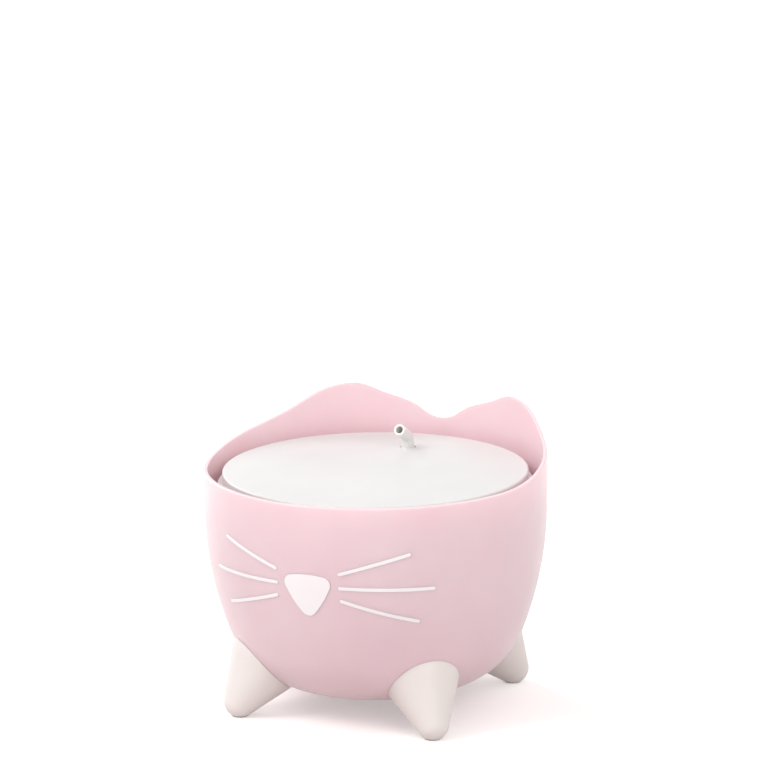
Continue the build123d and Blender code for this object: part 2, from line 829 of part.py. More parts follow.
with BuildPart() as fleece:
    with BuildSketch(Plane.XY.offset(filter_z + film_thick)):
        with Locations((0, well_y)):
            RectangleRounded(
                filter_size - 2 * fleece_inset, filter_size - 2 * fleece_inset, filter_corner
            )
            Circle(filter_hole_r + fleece_inset, mode=Mode.SUBTRACT)
    extrude(amount=fleece_thick)
save(fleece, "filter_fleece")

# ---------------------------------------------------------------- lid
with BuildPart() as lid:
    with BuildSketch(Plane.XZ):
        with BuildLine():
            inner_r = lid_radius - lid_skirt_wall
            crown_z = lid_edge_z + lid_crown
            ThreePointArc(
                (0, crown_z),
                (lid_radius / 2, lid_edge_z + 0.75 * lid_crown),
                (lid_radius - lid_edge_round, lid_edge_z),
            )
            RadiusArc(
                (lid_radius - lid_edge_round, lid_edge_z),
                (lid_radius, lid_edge_z - lid_edge_round),
                lid_edge_round,
            )
            Polyline(
                (lid_radius, lid_edge_z - lid_edge_round),
                (lid_radius, tray_top_z),
                (inner_r, tray_top_z),
                (inner_r, lid_edge_z - lid_plate),
            )
            ThreePointArc(
                (inner_r, lid_edge_z - lid_plate),
                (lid_radius / 2, lid_edge_z + 0.75 * lid_crown - lid_plate),
                (0, crown_z - lid_plate),
            )
            Line((0, crown_z - lid_plate), (0, crown_z))
        make_face()
    revolve(axis=Axis.Z)
    with BuildSketch(Plane.XY.offset(tray_top_z)):
        with BuildLine():
            half_cut = math.radians(lid_cut_angle / 2)
            cut_x = 2 * lid_radius * math.sin(half_cut)
            cut_y = -2 * lid_radius * math.cos(half_cut)
            Polyline((0, 0), (cut_x, cut_y), (-cut_x, cut_y), close=True)
        make_face()
    extrude(amount=lid_skirt - lid_front_edge, mode=Mode.SUBTRACT)
    with BuildSketch(Plane.XY.offset(tray_top_z)):
        with Locations((0, outlet_y)):
            Circle(lid_hole_r)
    extrude(amount=lid_skirt + lid_crown, mode=Mode.SUBTRACT)

# the lid's moulding in two nodes: its plate and the skirt below it
with BuildPart() as skirt_space:
    with BuildSketch(Plane.XY.offset(tray_top_z)):
        Circle(2 * lid_radius)
    extrude(amount=lid_edge_z - lid_plate - tray_top_z)

with BuildPart() as lid_rim:
    add(lid.part)
    add(skirt_space.part, mode=Mode.INTERSECT)
save(lid_rim, "lid_skirt")

with BuildPart() as lid_top:
    add(lid.part)
    add(skirt_space.part, mode=Mode.SUBTRACT)
save(lid_top, "lid")

# ---------------------------------------------------------------- spout
collar_top_z = collar_low_z + collar_length
with BuildPart() as collar:
    with BuildSketch(Plane.XY.offset(collar_low_z)):
        with Locations((0, outlet_y)):
            Circle(collar_r)
    extrude(amount=collar_length)
    fillet(collar.edges().group_by(Axis.Z)[-1], spout_edge)
    with BuildSketch(Plane.XY.offset(collar_low_z)):
        with Locations((0, outlet_y)):
            Circle(spout_bore_r)
    extrude(amount=collar_length, mode=Mode.SUBTRACT)
    with BuildSketch(Plane.XY.offset(collar_top_z)):
        with Locations((0, outlet_y)):
            Circle(collar_stub_r + turn_gap)
    extrude(amount=-collar_stub - end_play, mode=Mode.SUBTRACT)
save(collar, "spout_collar")

with BuildPart() as spout:
    with BuildLine() as spout_path:
        rise = Line((0, outlet_y, collar_top_z), (0, outlet_y, collar_top_z + spout_rise))
        bend = TangentArc(
            rise @ 1,
            (
                0,
                outlet_y - spout_bend_r * (1 - math.cos(math.radians(spout_bend))),
                collar_top_z + spout_rise + spout_bend_r * math.sin(math.radians(spout_bend)),
            ),
            tangent=(0, 0, 1),
        )
        PolarLine(bend @ 1, spout_reach, direction=bend % 1)
    with BuildSketch(Plane(origin=rise @ 0, z_dir=(0, 0, 1))):
        Circle(spout_r)
    sweep(path=spout_path.wires()[0])
    fillet(spout.edges().sort_by(Axis.Y)[0], spout_edge)
    with BuildSketch(Plane.XY.offset(collar_top_z)):
        with Locations((0, outlet_y)):
            Circle(collar_stub_r)
    extrude(amount=-collar_stub)
    with BuildSketch(Plane(origin=rise @ 0, z_dir=(0, 0, 1))):
        Circle(spout_bore_r)
    sweep(path=spout_path.wires()[0], mode=Mode.SUBTRACT)
    with BuildSketch(Plane.XY.offset(collar_top_z)):
        with Locations((0, outlet_y)):
            Circle(spout_bore_r)
    extrude(amount=-collar_stub, mode=Mode.SUBTRACT)
save(spout, "spout_elbow")

# ---------------------------------------------------------------- riser tube
with BuildPart() as riser:
    with BuildSketch(Plane.XY.offset(tube_low_z)):
        with Locations((0, outlet_y)):
            Circle(tube_r)
            Circle(tube_bore_r, mode=Mode.SUBTRACT)
    extrude(amount=tube_length)
save(riser, "riser_tube")

# ---------------------------------------------------------------- pump
housing_length = pump_tail - housing_x
chamber_end_x = housing_x + chamber_length
well_end_x = chamber_end_x + rotor_well_length
eye_cover_x = housing_x + eye_cover_in
impeller_x = eye_cover_x + eye_cover_thick + end_play


def pump_box(x, length, width, base, height, round_r):
    """Sketch of a box-shaped pump piece across the pump's long side; x is its end at the head."""
    with BuildSketch(rotor_plane(x)) as outline:
        with Locations((base + height / 2 - rotor_axis_z, 0)):
            RectangleRounded(height, width, round_r)
    return outline


with BuildPart() as housing:
    body = pump_box(housing_x, housing_length, pump_width, 0, pump_height, pump_round)
    extrude(body.sketch, amount=housing_length, dir=pump_plane.x_dir)
    tail_edges = housing.faces().sort_by(Axis(pump_plane.origin, pump_plane.x_dir))[-1].edges()
    fillet(tail_edges, pump_round - 0.1)
    # outlet nozzle on its low ring
    with BuildSketch(pump_local(pump_height - 1)):
        Circle(outlet_r + outlet_ring)
    extrude(amount=outlet_ring)
    with BuildSketch(pump_local(pump_height)):
        Circle(outlet_r)
    extrude(amount=outlet_length)
    # impeller chamber and the well of the rotor, open at the head
    with BuildSketch(rotor_plane(housing_x)):
        Circle(chamber_r)
    extrude(amount=chamber_length, mode=Mode.SUBTRACT)
    with BuildSketch(rotor_plane(chamber_end_x)):
        Circle(rotor_well_r)
    extrude(amount=rotor_well_length, mode=Mode.SUBTRACT)
    with BuildSketch(rotor_plane(well_end_x)):
        Circle(bush_r)
    extrude(amount=bush_length, mode=Mode.SUBTRACT)
    # channel from the chamber over the stator to the outlet
    channel_start_x = chamber_end_x - chamber_r / 2
    with BuildSketch(pump_local(channel_z)):
        with Locations(((channel_start_x + outlet_bore_r) / 2, 0)):
            Rectangle(outlet_bore_r - channel_start_x, channel_width)
    extrude(amount=channel_height, mode=Mode.SUBTRACT)
    with BuildSketch(pump_local(rotor_axis_z)):
        with Locations(((channel_start_x + chamber_end_x) / 2, 0)):
            Rectangle(chamber_end_x - channel_start_x, channel_width)
    extrude(amount=channel_z + channel_height - rotor_axis_z, mode=Mode.SUBTRACT)
    with BuildSketch(pump_local(channel_z)):
        Circle(outlet_bore_r)
    extrude(amount=pump_height + outlet_length - channel_z, mode=Mode.SUBTRACT)
    # pocket of the stator, open at the tail, and the seat of its cover
    stator_x = chamber_end_x + stator_wall
    with BuildSketch(rotor_plane(stator_x)):
        Circle(stator_r + fill_gap)
        Circle(rotor_well_r + stator_wall, mode=Mode.SUBTRACT)
    extrude(amount=pump_tail - stator_x, mode=Mode.SUBTRACT)
    with BuildSketch(rotor_plane(pump_tail - end_cap_thick)):
        Circle(stator_r + end_cap_thick)
    extrude(amount=end_cap_thick, mode=Mode.SUBTRACT)
    # pocket of the light's board, below the chamber
    with BuildSketch(rotor_plane(housing_x)):
        with Locations((led_z - rotor_axis_z, 0)):
            Rectangle(board_height + 2 * fill_gap, board_width + 2 * fill_gap)
    extrude(amount=board_thick + end_play, mode=Mode.SUBTRACT)
    # roots of the suction feet and of the cord gland
    with BuildSketch(pump_local()):
        with Locations((pump_tail - pump_length / 2, 0)):
            with GridLocations(cup_pitch_x, cup_pitch_y, 2, 2):
                Circle(cup_stem_r + fill_gap)
    extrude(amount=cup_stem + fill_gap, mode=Mode.SUBTRACT)
    gland_centre = pump_plane.from_local_coords((gland_x, pump_width / 2, gland_z))
    gland_plane = Plane(origin=gland_centre, x_dir=(0, 0, 1), z_dir=pump_plane.y_dir)
    with BuildSketch(gland_plane):
        Circle(gland_root_r + fill_gap)
    extrude(amount=-gland_root - fill_gap, mode=Mode.SUBTRACT)
save(housing, "pump_housing")

with BuildPart() as end_cap:
    with BuildSketch(rotor_plane(pump_tail - end_cap_thick)):
        Circle(stator_r + end_cap_thick - fill_gap)
    extrude(amount=end_cap_thick)
save(end_cap, "pump_end_cap")

with BuildPart() as stator_core:
    with BuildSketch(rotor_plane(stator_x + fill_gap)):
        Circle(stator_r)
        Circle(rotor_well_r + stator_wall + fill_gap, mode=Mode.SUBTRACT)
    extrude(amount=stator_length)
save(stator_core, "stator_core")

with BuildPart() as stator_coil:
    with BuildSketch(rotor_plane(stator_x + stator_length + 2 * fill_gap)):
        Circle(stator_r)
        Circle(rotor_well_r + stator_wall + fill_gap, mode=Mode.SUBTRACT)
    extrude(amount=coil_length)
save(stator_coil, "stator_coil")

with BuildPart() as eye_cover:
    with BuildSketch(rotor_plane(eye_cover_x)):
        Circle(chamber_r - fill_gap)
        Circle(eye_r, mode=Mode.SUBTRACT)
        with PolarLocations(eye_r / 2, 3):
            Rectangle(eye_r + 1, spoke_width)
        Circle(eye_boss_r)
    extrude(amount=eye_cover_thick)
    with BuildSketch(rotor_plane(eye_cover_x - bush_length + eye_cover_thick)):
        Circle(eye_boss_r)
    extrude(amount=bush_length - eye_cover_thick / 2)
    with BuildSketch(rotor_plane(eye_cover_x - bush_length)):
        Circle(bush_r)
    extrude(amount=2 * bush_length, mode=Mode.SUBTRACT)
save(eye_cover, "impeller_cover")

bush_places = {
    "shaft_bush_front": eye_cover_x + eye_cover_thick - bush_length,
    "shaft_bush_rear": well_end_x,
}
for name, x in bush_places.items():
    with BuildPart() as bush:
        with BuildSketch(rotor_plane(x)):
            Circle(bush_r)
            Circle(shaft_r, mode=Mode.SUBTRACT)
        extrude(amount=bush_length)
    save(bush, name)

with BuildPart() as shaft:
    shaft_x = bush_places["shaft_bush_front"]
    with BuildSketch(rotor_plane(shaft_x)):
        Circle(shaft_r)
    extrude(amount=well_end_x + bush_length - shaft_x)
save(shaft, "impeller_shaft")

with BuildPart() as impeller:
    plate_x = impeller_x + impeller_height - impeller_plate
    with BuildSketch(rotor_plane(plate_x)):
        Circle(impeller_r)
    extrude(amount=impeller_plate)
    with BuildSketch(rotor_plane(impeller_x)):
        Circle(hub_r)
    extrude(amount=impeller_height)
    # vanes, curved back from the hub to the rim
    with BuildSketch(rotor_plane(impeller_x)):
        with BuildLine():
            for step in range(vane_count):
                turn = step * 360 / vane_count
                root = Vector(hub_r - vane_thick / 2, 0).rotate(Axis.Z, turn)
                end = Vector(impeller_r - vane_thick, -vane_sweep).rotate(Axis.Z, turn)
                RadiusArc(root, end, -impeller_r)
        trace(line_width=vane_thick)
    extrude(amount=impeller_height - impeller_plate)
    with BuildSketch(rotor_plane(plate_x + impeller_plate)):
        Circle(rotor_neck_r)
    neck = chamber_end_x + end_play - plate_x - impeller_plate
    extrude(amount=neck)
    with BuildSketch(rotor_plane(impeller_x)):
        Circle(shaft_r + turn_gap)
    extrude(amount=impeller_height + neck, mode=Mode.SUBTRACT)
save(impeller, "impeller")

with BuildPart() as rotor:
    with BuildSketch(rotor_plane(chamber_end_x + end_play)):
        Circle(rotor_r)
        Circle(shaft_r + turn_gap, mode=Mode.SUBTRACT)
    extrude(amount=rotor_length)
save(rotor, "rotor_magnet")

intake_plane = rotor_plane(pump_head_x)
with BuildPart() as intake_cover:
    face = pump_box(pump_head_x, cover_thick, pump_width, 0, pump_height, pump_round)
    extrude(face.sketch, amount=cover_thick, dir=pump_plane.x_dir)
    head_edges = intake_cover.faces().sort_by(Axis(pump_plane.origin, pump_plane.x_dir))[0].edges()
    fillet(head_edges, pump_round - 0.1)
    # recess of the intake, its grille, and the pocket of the flow slider behind it
    with BuildSketch(intake_plane):
        with Locations((intake_z - rotor_axis_z, 0)):
            RectangleRounded(intake_height, intake_width, intake_height / 2 - 0.1)
    extrude(amount=intake_depth, mode=Mode.SUBTRACT)
    with BuildSketch(intake_plane):
        with Locations((intake_z - rotor_axis_z - tab_height, 0)):
            with GridLocations(0, grille_pitch, 1, grille_slots):
                SlotOverall(grille_height, grille_slot)
        with Locations((intake_z - rotor_axis_z + tab_rise, 0)):
            Rectangle(
                tab_height + 2 * slider_gap,
                tab_width + 2 * slider_travel + 2 * slider_gap,
            )
    extrude(amount=cover_thick, mode=Mode.SUBTRACT)
    with BuildSketch(rotor_plane(pump_head_x + intake_depth + intake_wall)):
        with Locations((intake_z - rotor_axis_z, 0)):
            Rectangle(
                slider_height + 2 * slider_gap,
                slider_width + 2 * slider_travel + 2 * slider_gap,
            )
    extrude(amount=cover_thick, mode=Mode.SUBTRACT)
    with BuildSketch(intake_plane):
        with Locations((led_z - rotor_axis_z, 0)):
            Circle(led_r + fill_gap)
    extrude(amount=cover_thick, mode=Mode.SUBTRACT)
save(intake_cover, "intake_cover")

with BuildPart() as slider:
    slider_x = pump_head_x + intake_depth + intake_wall + slider_gap
    with BuildSketch(rotor_plane(slider_x)):
        with Locations((intake_z - rotor_axis_z, 0)):
            Rectangle(slider_height, slider_width)
        with Locations((intake_z - rotor_axis_z - tab_height, grille_pitch / 2)):
            with GridLocations(0, grille_pitch, 1, grille_slots):
                SlotOverall(grille_height, grille_slot, mode=Mode.SUBTRACT)
    extrude(amount=slider_thick)
    with BuildSketch(rotor_plane(slider_x)):
        with Locations((intake_z - rotor_axis_z + tab_rise, 0)):
            Rectangle(tab_height, tab_width)
    extrude(amount=-slider_gap - intake_wall - intake_depth / 2)
save(slider, "flow_slider")

with BuildPart() as lens:
    with BuildSketch(rotor_plane(pump_head_x)):
        with Locations((led_z - rotor_axis_z, 0)):
            Circle(led_r)
    extrude(amount=cover_thick)
    extrude(lens.faces().sort_by(Axis(pump_plane.origin, pump_plane.x_dir))[0], amount=0.5, taper=25)
save(lens, "light_lens")

with BuildPart() as board:
    with BuildSketch(rotor_plane(housing_x + fill_gap)):
        with Locations((led_z - rotor_axis_z, 0)):
            Rectangle(board_height, board_width)
    extrude(amount=board_thick)
save(board, "light_board")

with BuildPart() as suction_feet:
    cup_middle = (pump_tail - pump_length / 2, 0)
    with BuildSketch(pump_local(-cup_height)):
        with Locations(cup_middle):
            with GridLocations(cup_pitch_x, cup_pitch_y, 2, 2):
                Circle(suction_r)
    extrude(amount=cup_lip)
    with BuildSketch(pump_local(cup_lip - cup_height)):
        with Locations(cup_middle):
            with GridLocations(cup_pitch_x, cup_pitch_y, 2, 2):
                Circle(suction_r)
    extrude(amount=cup_height - cup_lip, taper=cup_slope)
    with BuildSketch(pump_local()):
        with Locations(cup_middle):
            with GridLocations(cup_pitch_x, cup_pitch_y, 2, 2):
                Circle(cup_stem_r)
    extrude(amount=cup_stem)
    with BuildSketch(pump_local(-cup_height)):
        with Locations(cup_middle):
            with GridLocations(cup_pitch_x, cup_pitch_y, 2, 2):
                Circle(suction_r - cup_lip)
    extrude(amount=cup_lip, taper=cup_slope, mode=Mode.SUBTRACT)
save(suction_feet, "suction_feet")

with BuildPart() as gland:
    with BuildSketch(gland_plane):
        Circle(gland_r)
    with BuildSketch(gland_plane.offset(gland_length)):
        Circle(gland_tip_r)
    loft()
    with BuildSketch(gland_plane):
        Circle(gland_root_r)
    extrude(amount=-gland_root)
save(gland, "cord_gland")

# ---------------------------------------------------------------- cord
# From the pump's gland in a loose loop to the duct, over the duct's front wall, down the duct, out low
# at the back, and along the ground to a coil behind the bowl, with the plug beside the coil.
cord_route = [
    (-33.96, 51.85, 56.0),
    (-42.01, 59.35, 56.0),
    (-53.0, 64.5, 56.3),
    (-64.0, 64.0, 58.5),
    (-65.5, 65.5, 64.5),
    (-60.0, 72.0, 69.0),
    (-48.0, 79.0, 70.5),
    (-35.0, 82.0, 71.5),
    (-21.0, 82.0, 74.0),
    (-9.0, 80.8, 79.5),
    (0.0, 79.9, 88.5),
    (-0.6, 79.5, 104.0),
    (0.4, 80.3, 121.0),
    (-0.2, 79.9, 134.0),
    (0.0, 79.9, 145.0),
    (0.0, 84.32, 149.42),
    (0.0, 90.57, 149.42),
    (0.0, 95.0, 145.0),
    (0.3, 95.2, 134.0),
    (-0.4, 94.8, 116.0),
    (0.4, 95.1, 98.0),
    (-0.2, 94.0, 80.0),
    (0.2, 93.1, 64.0),
    (0.0, 94.1, 48.0),
    (0.0, 95.2, 33.0),
    (0.0, 96.3, 21.0),
    (0.0, 99.8, 10.5),
    (-0.3, 108.0, 3.2),
    (-1.6, 119.0, 1.1),
    (-5.5, 131.0, 1.1),
    (-14.5, 141.5, 1.1),
    (-27.5, 148.3, 1.1),
    (-42.0, 149.85, 1.1),
    (-51.3, 149.85, 1.1),
]
tail_route = [
    (-68.7, 149.85, 7.7),
    (-77.0, 149.4, 7.0),
    (-85.5, 147.7, 5.3),
    (-93.5, 146.5, 4.0),
    (-101.0, 146.5, 4.0),
]


def cord_tube(route, name):
    """Round cord along straight runs joined by arcs as large as the runs allow."""
    points = [Vector(*point) for point in route]
    runs = [after - before for before, after in zip(points, points[1:])]
    radii = []
    for before, after in zip(runs, runs[1:]):
        half_turn = math.radians(before.get_angle(after)) / 2
        radii.append(0.45 * min(before.length, after.length) / math.tan(half_turn))
    print(name, "arc radii", [round(radius, 1) for radius in radii])
    with BuildPart() as tube:
        with BuildLine() as path:
            FilletPolyline(*points, radius=radii)
        with BuildSketch(Plane(origin=path.line @ 0, z_dir=path.line % 0)):
            Circle(cord_d / 2)
        sweep()
    length = sum(edge.length for edge in path.edges())
    section = math.pi * cord_d**2 / 4
    print(name, "length", round(length, 1), "volume share", round(tube.part.volume / section / length, 4))
    save(tube, name)


cord_tube(cord_route, "power_cord")
cord_tube(tail_route, "cord_tail")

with BuildPart() as cord_coil:
    coil_width = coil_columns * cord_d
    with BuildSketch(Plane.XY):
        with Locations((coil_x, coil_y)):
            Circle(coil_turn_r + coil_width / 2)
            Circle(coil_turn_r - coil_width / 2, mode=Mode.SUBTRACT)
    extrude(amount=coil_rows * cord_d)
save(cord_coil, "cord_coil")

plug_end = Vector(*tail_route[-1])
plug_plane = Plane(origin=plug_end, x_dir=(0, 1, 0), z_dir=(-1, 0, 0))
with BuildPart() as plug:
    with BuildSketch(plug_plane):
        Circle(gland_tip_r)
    with BuildSketch(plug_plane.offset(gland_length)):
        Circle(gland_r)
    loft()
    with BuildSketch(plug_plane.offset(gland_length)):
        RectangleRounded(plug_width, plug_height, plug_height / 3)
    extrude(amount=plug_length)
save(plug, "usb_plug_body")

with BuildPart() as plug_shell:
    with BuildSketch(plug_plane.offset(gland_length + plug_length)):
        inside_width = shell_width - 2 * shell_wall
        inside_height = shell_height - 2 * shell_wall
        RectangleRounded(shell_width, shell_height, shell_wall)
        Rectangle(inside_width, inside_height, mode=Mode.SUBTRACT)
    extrude(amount=shell_length)
    # tongue of the contacts, along one side of the shell
    with BuildSketch(plug_plane.offset(gland_length + plug_length)):
        with Locations((0, (inside_height - tongue_thick) / 2)):
            Rectangle(inside_width, tongue_thick)
    extrude(amount=shell_length - 2 * shell_wall)
save(plug_shell, "usb_plug_shell")
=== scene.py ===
"""Finishes of the pet water fountain, with its cord, filter granules and small fittings."""

import math
import random

import bmesh
import bpy
from mathutils import Matrix, Vector


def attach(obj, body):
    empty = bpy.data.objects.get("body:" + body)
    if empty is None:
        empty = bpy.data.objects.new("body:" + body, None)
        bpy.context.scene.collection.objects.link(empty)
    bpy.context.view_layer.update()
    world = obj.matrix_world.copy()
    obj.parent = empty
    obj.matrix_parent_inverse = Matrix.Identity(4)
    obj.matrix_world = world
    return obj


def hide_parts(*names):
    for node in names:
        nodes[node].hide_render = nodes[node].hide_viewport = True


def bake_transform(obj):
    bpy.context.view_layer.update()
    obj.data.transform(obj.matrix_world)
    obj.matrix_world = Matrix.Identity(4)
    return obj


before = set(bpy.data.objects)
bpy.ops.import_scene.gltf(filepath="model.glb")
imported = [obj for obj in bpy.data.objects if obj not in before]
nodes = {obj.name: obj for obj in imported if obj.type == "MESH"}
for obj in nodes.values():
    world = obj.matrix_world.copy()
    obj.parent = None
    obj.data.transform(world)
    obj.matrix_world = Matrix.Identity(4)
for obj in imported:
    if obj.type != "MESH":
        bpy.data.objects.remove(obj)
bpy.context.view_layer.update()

# ---------------------------------------------------------------- sizes, in metres
RIM_HEIGHT = 0.156
RIM_RADIUS = 0.1105
WELL_Y = -0.046
PUMP_TURN = math.radians(47)

CORD_DIAMETER = 0.0022
COIL_CENTRE = Vector((-0.060, 0.135, 0))
COIL_INNER = 0.00715
COIL_OUTER = 0.01485
COIL_ROWS = 4
COIL_ROW_TURNS = 3.5
COIL_STEPS = 24  # route points in a turn
CORD_ROUTE = [  # from the pump's gland over the duct's wall and down to the coil
    (-0.03396, 0.05185, 0.0560),
    (-0.04201, 0.05935, 0.0560),
    (-0.0530, 0.0645, 0.0563),
    (-0.0640, 0.0640, 0.0585),
    (-0.0655, 0.0655, 0.0645),
    (-0.0600, 0.0720, 0.0690),
    (-0.0480, 0.0790, 0.0705),
    (-0.0350, 0.0820, 0.0715),
    (-0.0210, 0.0820, 0.0740),
    (-0.0090, 0.0808, 0.0795),
    (0.0000, 0.0799, 0.0885),
    (-0.0006, 0.0795, 0.1040),
    (0.0004, 0.0803, 0.1210),
    (-0.0002, 0.0799, 0.1340),
    (0.0000, 0.0799, 0.1450),
    (0.0000, 0.08432, 0.14942),
    (0.0000, 0.09057, 0.14942),
    (0.0000, 0.0950, 0.1450),
    (0.0003, 0.0952, 0.1340),
    (-0.0004, 0.0948, 0.1160),
    (0.0004, 0.0951, 0.0980),
    (-0.0002, 0.0940, 0.0800),
    (0.0002, 0.0931, 0.0640),
    (0.0000, 0.0941, 0.0480),
    (0.0000, 0.0952, 0.0330),
    (0.0000, 0.0963, 0.0210),
    (0.0000, 0.0998, 0.0105),
    (-0.0003, 0.1080, 0.0032),
    (-0.0016, 0.1190, 0.0011),
    (-0.0055, 0.1310, 0.0011),
    (-0.0145, 0.1415, 0.0011),
    (-0.0275, 0.1483, 0.0011),
    (-0.0420, 0.14985, 0.0011),
    (-0.0513, 0.14985, 0.0011),
]
TAIL_ROUTE = [  # from the coil to the plug
    (-0.0687, 0.14985, 0.0077),
    (-0.0770, 0.1494, 0.0070),
    (-0.0855, 0.1477, 0.0053),
    (-0.0935, 0.1465, 0.0040),
    (-0.1010, 0.1465, 0.0040),
]
STRAP_WIDTH = 0.007
STRAP_WALL = 0.0005
STRAP_GAP = 0.0002  # over the ground

# pods of the filter cartridge, their grains and the weld seams round the film
POD_TOP = 0.1343
POD_DEPTH = 0.0076
POD_HALF = 0.0171
POD_CORNER = 0.00635
POD_PITCH = 0.041
POD_DRAFT = math.radians(6)
POD_HOLE_R = 0.01115
GRAIN_R = 0.0008
GRAIN_PITCH = 0.00142
GRAIN_ROW_SHARE = 0.87  # row spacing as a share of the pitch
GRAIN_JITTER = 0.0003
GRAIN_LAYERS = 5
CORE_INSET = 0.0075  # the core block against the pod's width
CORE_SINK = 0.0024  # the core block against the pod's depth
CORE_SHIFT = 0.0020  # the core block outwards from the pod's middle
SEAM_HEIGHT = 0.1344
SEAM_RADIUS = 0.00022
SEAMS = (  # name, half width, corner radius
    ("outer_weld", 0.0402, 0.0108),
    ("inner_weld", 0.0395, 0.0101),
)

FRAME_WIDTH_PX = 780
SENSOR_WIDTH = 36  # in millimetres, as Blender takes it
FLOOR_HALF = 20


# ---------------------------------------------------------------- camera
def place_camera():
    """Camera that holds the middle of the bowl's rim at one pixel and the rim at one width."""
    focal_px = 4970
    rim_px = (375.4, 465.4)
    rim_half_width_px = 171.7
    image_middle = (390.0, 390.5)
    azimuth = math.radians(23.8)
    elevation = math.radians(14.3)
    roll = math.radians(0.65)

    back = Vector(
        (
            math.sin(azimuth) * math.cos(elevation),
            -math.cos(azimuth) * math.cos(elevation),
            math.sin(elevation),
        )
    )
    rim_middle = Vector((0, 0, RIM_HEIGHT))
    data = bpy.data.cameras.new("camera")
    data.sensor_width = SENSOR_WIDTH
    data.lens = SENSOR_WIDTH * focal_px / FRAME_WIDTH_PX
    data.clip_start = 0.05
    data.clip_end = 100
    camera = bpy.data.objects.new("camera", data)
    bpy.context.scene.collection.objects.link(camera)
    bpy.context.scene.camera = camera
    towards_rim = Vector(
        (
            (rim_px[0] - image_middle[0]) / focal_px,
            -(rim_px[1] - image_middle[1]) / focal_px,
            -1,
        )
    )
    aim = (-back).to_track_quat("-Z", "Y").to_matrix()
    shift = towards_rim.rotation_difference(Vector((0, 0, -1))).to_matrix()
    camera.rotation_mode = "QUATERNION"
    camera.rotation_quaternion = (aim @ Matrix.Rotation(-roll, 3, "Z") @ shift).to_quaternion()
    camera.location = rim_middle + back * (focal_px * RIM_RADIUS / rim_half_width_px)


place_camera()


# ---------------------------------------------------------------- shader groups
def linear(red, green, blue):
    """A colour given as 0 to 255 on screen, in the renderer's linear values."""
    shares = [channel / 255 for channel in (red, green, blue)]
    return tuple(((c + 0.055) / 1.055) ** 2.4 if c > 10 / 255 else c / 12.92 for c in shares) + (1,)


def group_sockets(tree, takes, gives):
    """Declares a group's sockets; each is a name, a kind and a starting value."""
    kinds = {"value": "NodeSocketFloat", "vector": "NodeSocketVector", "colour": "NodeSocketColor"}
    for name, kind, start in takes:
        made = tree.interface.new_socket(name=name, in_out="INPUT", socket_type=kinds[kind])
        if start is not None:
            made.default_value = start
    for name, kind in gives:
        tree.interface.new_socket(name=name, in_out="OUTPUT", socket_type=kinds[kind])
    return tree.nodes.new("NodeGroupInput"), tree.nodes.new("NodeGroupOutput")


def noise(tree, place, scale, detail=3.0, rough=0.5):
    """A noise texture read at a place; scale is a number or a socket."""
    made = tree.nodes.new("ShaderNodeTexNoise")
    tree.links.new(place, made.inputs["Vector"])
    if isinstance(scale, (int, float)):
        made.inputs["Scale"].default_value = scale
    else:
        tree.links.new(scale, made.inputs["Scale"])
    made.inputs["Detail"].default_value = detail
    made.inputs["Roughness"].default_value = rough
    return made.outputs["Fac"]


def sums(tree, kind, *terms):
    """A math node on sockets or numbers."""
    made = tree.nodes.new("ShaderNodeMath")
    made.operation = kind
    for place, term in enumerate(terms):
        if isinstance(term, (int, float)):
            made.inputs[place].default_value = term
        else:
            tree.links.new(term, made.inputs[place])
    return made.outputs["Value"]


def blend_colours(tree, share, first, second):
    """Mixes two colours, each a socket or a value."""
    made = tree.nodes.new("ShaderNodeMix")
    made.data_type = "RGBA"
    places = {"Factor": share, "A": first, "B": second}
    for name, value in places.items():
        socket = [s for s in made.inputs if s.name == name and s.enabled][0]
        if isinstance(value, bpy.types.NodeSocket):
            tree.links.new(value, socket)
        else:
            socket.default_value = value
    return [s for s in made.outputs if s.enabled][0]


def bump(tree, height, strength, distance):
    """A normal raised by a height; strength is a number or a socket."""
    made = tree.nodes.new("ShaderNodeBump")
    made.inputs["Distance"].default_value = distance
    tree.links.new(height, made.inputs["Height"])
    if isinstance(strength, (int, float)):
        made.inputs["Strength"].default_value = strength
    else:
        tree.links.new(strength, made.inputs["Strength"])
    return made.outputs["Normal"]


def make_moulded_skin():
    """Injection-moulded surface: slow drift of tone, fine grain, patchy gloss."""
    tree = bpy.data.node_groups.new("moulded_skin", "ShaderNodeTree")
    source, result = group_sockets(
        tree,
        [
            ("Place", "vector", None),
            ("Colour", "colour", (0.8, 0.8, 0.8, 1)),
            ("Shade", "colour", (0.7, 0.7, 0.7, 1)),
            ("Drift Scale", "value", 14.0),
            ("Grain Scale", "value", 900.0),
            ("Grain Depth", "value", 0.2),
            ("Roughness", "value", 0.35),
            ("Gloss Spread", "value", 0.12),
        ],
        [("Colour", "colour"), ("Roughness", "value"), ("Normal", "vector")],
    )
    place = source.outputs["Place"]
    drift = noise(tree, place, source.outputs["Drift Scale"], 2.0)
    spread = tree.nodes.new("ShaderNodeMapRange")
    tree.links.new(drift, spread.inputs["Value"])
    spread.inputs["From Min"].default_value = 0.35
    spread.inputs["From Max"].default_value = 0.65
    colour = blend_colours(
        tree, spread.outputs["Result"], source.outputs["Colour"], source.outputs["Shade"]
    )
    grain = noise(tree, place, source.outputs["Grain Scale"], 2.0, 0.6)
    haze = sums(tree, "SUBTRACT", noise(tree, place, 55.0, 4.0, 0.6), 0.5)
    rough = sums(
        tree, "MULTIPLY_ADD", haze, source.outputs["Gloss Spread"], source.outputs["Roughness"]
    )
    tree.links.new(colour, result.inputs["Colour"])
    tree.links.new(rough, result.inputs["Roughness"])
    normal = bump(tree, grain, source.outputs["Grain Depth"], 0.0002)
    tree.links.new(normal, result.inputs["Normal"])
    return tree


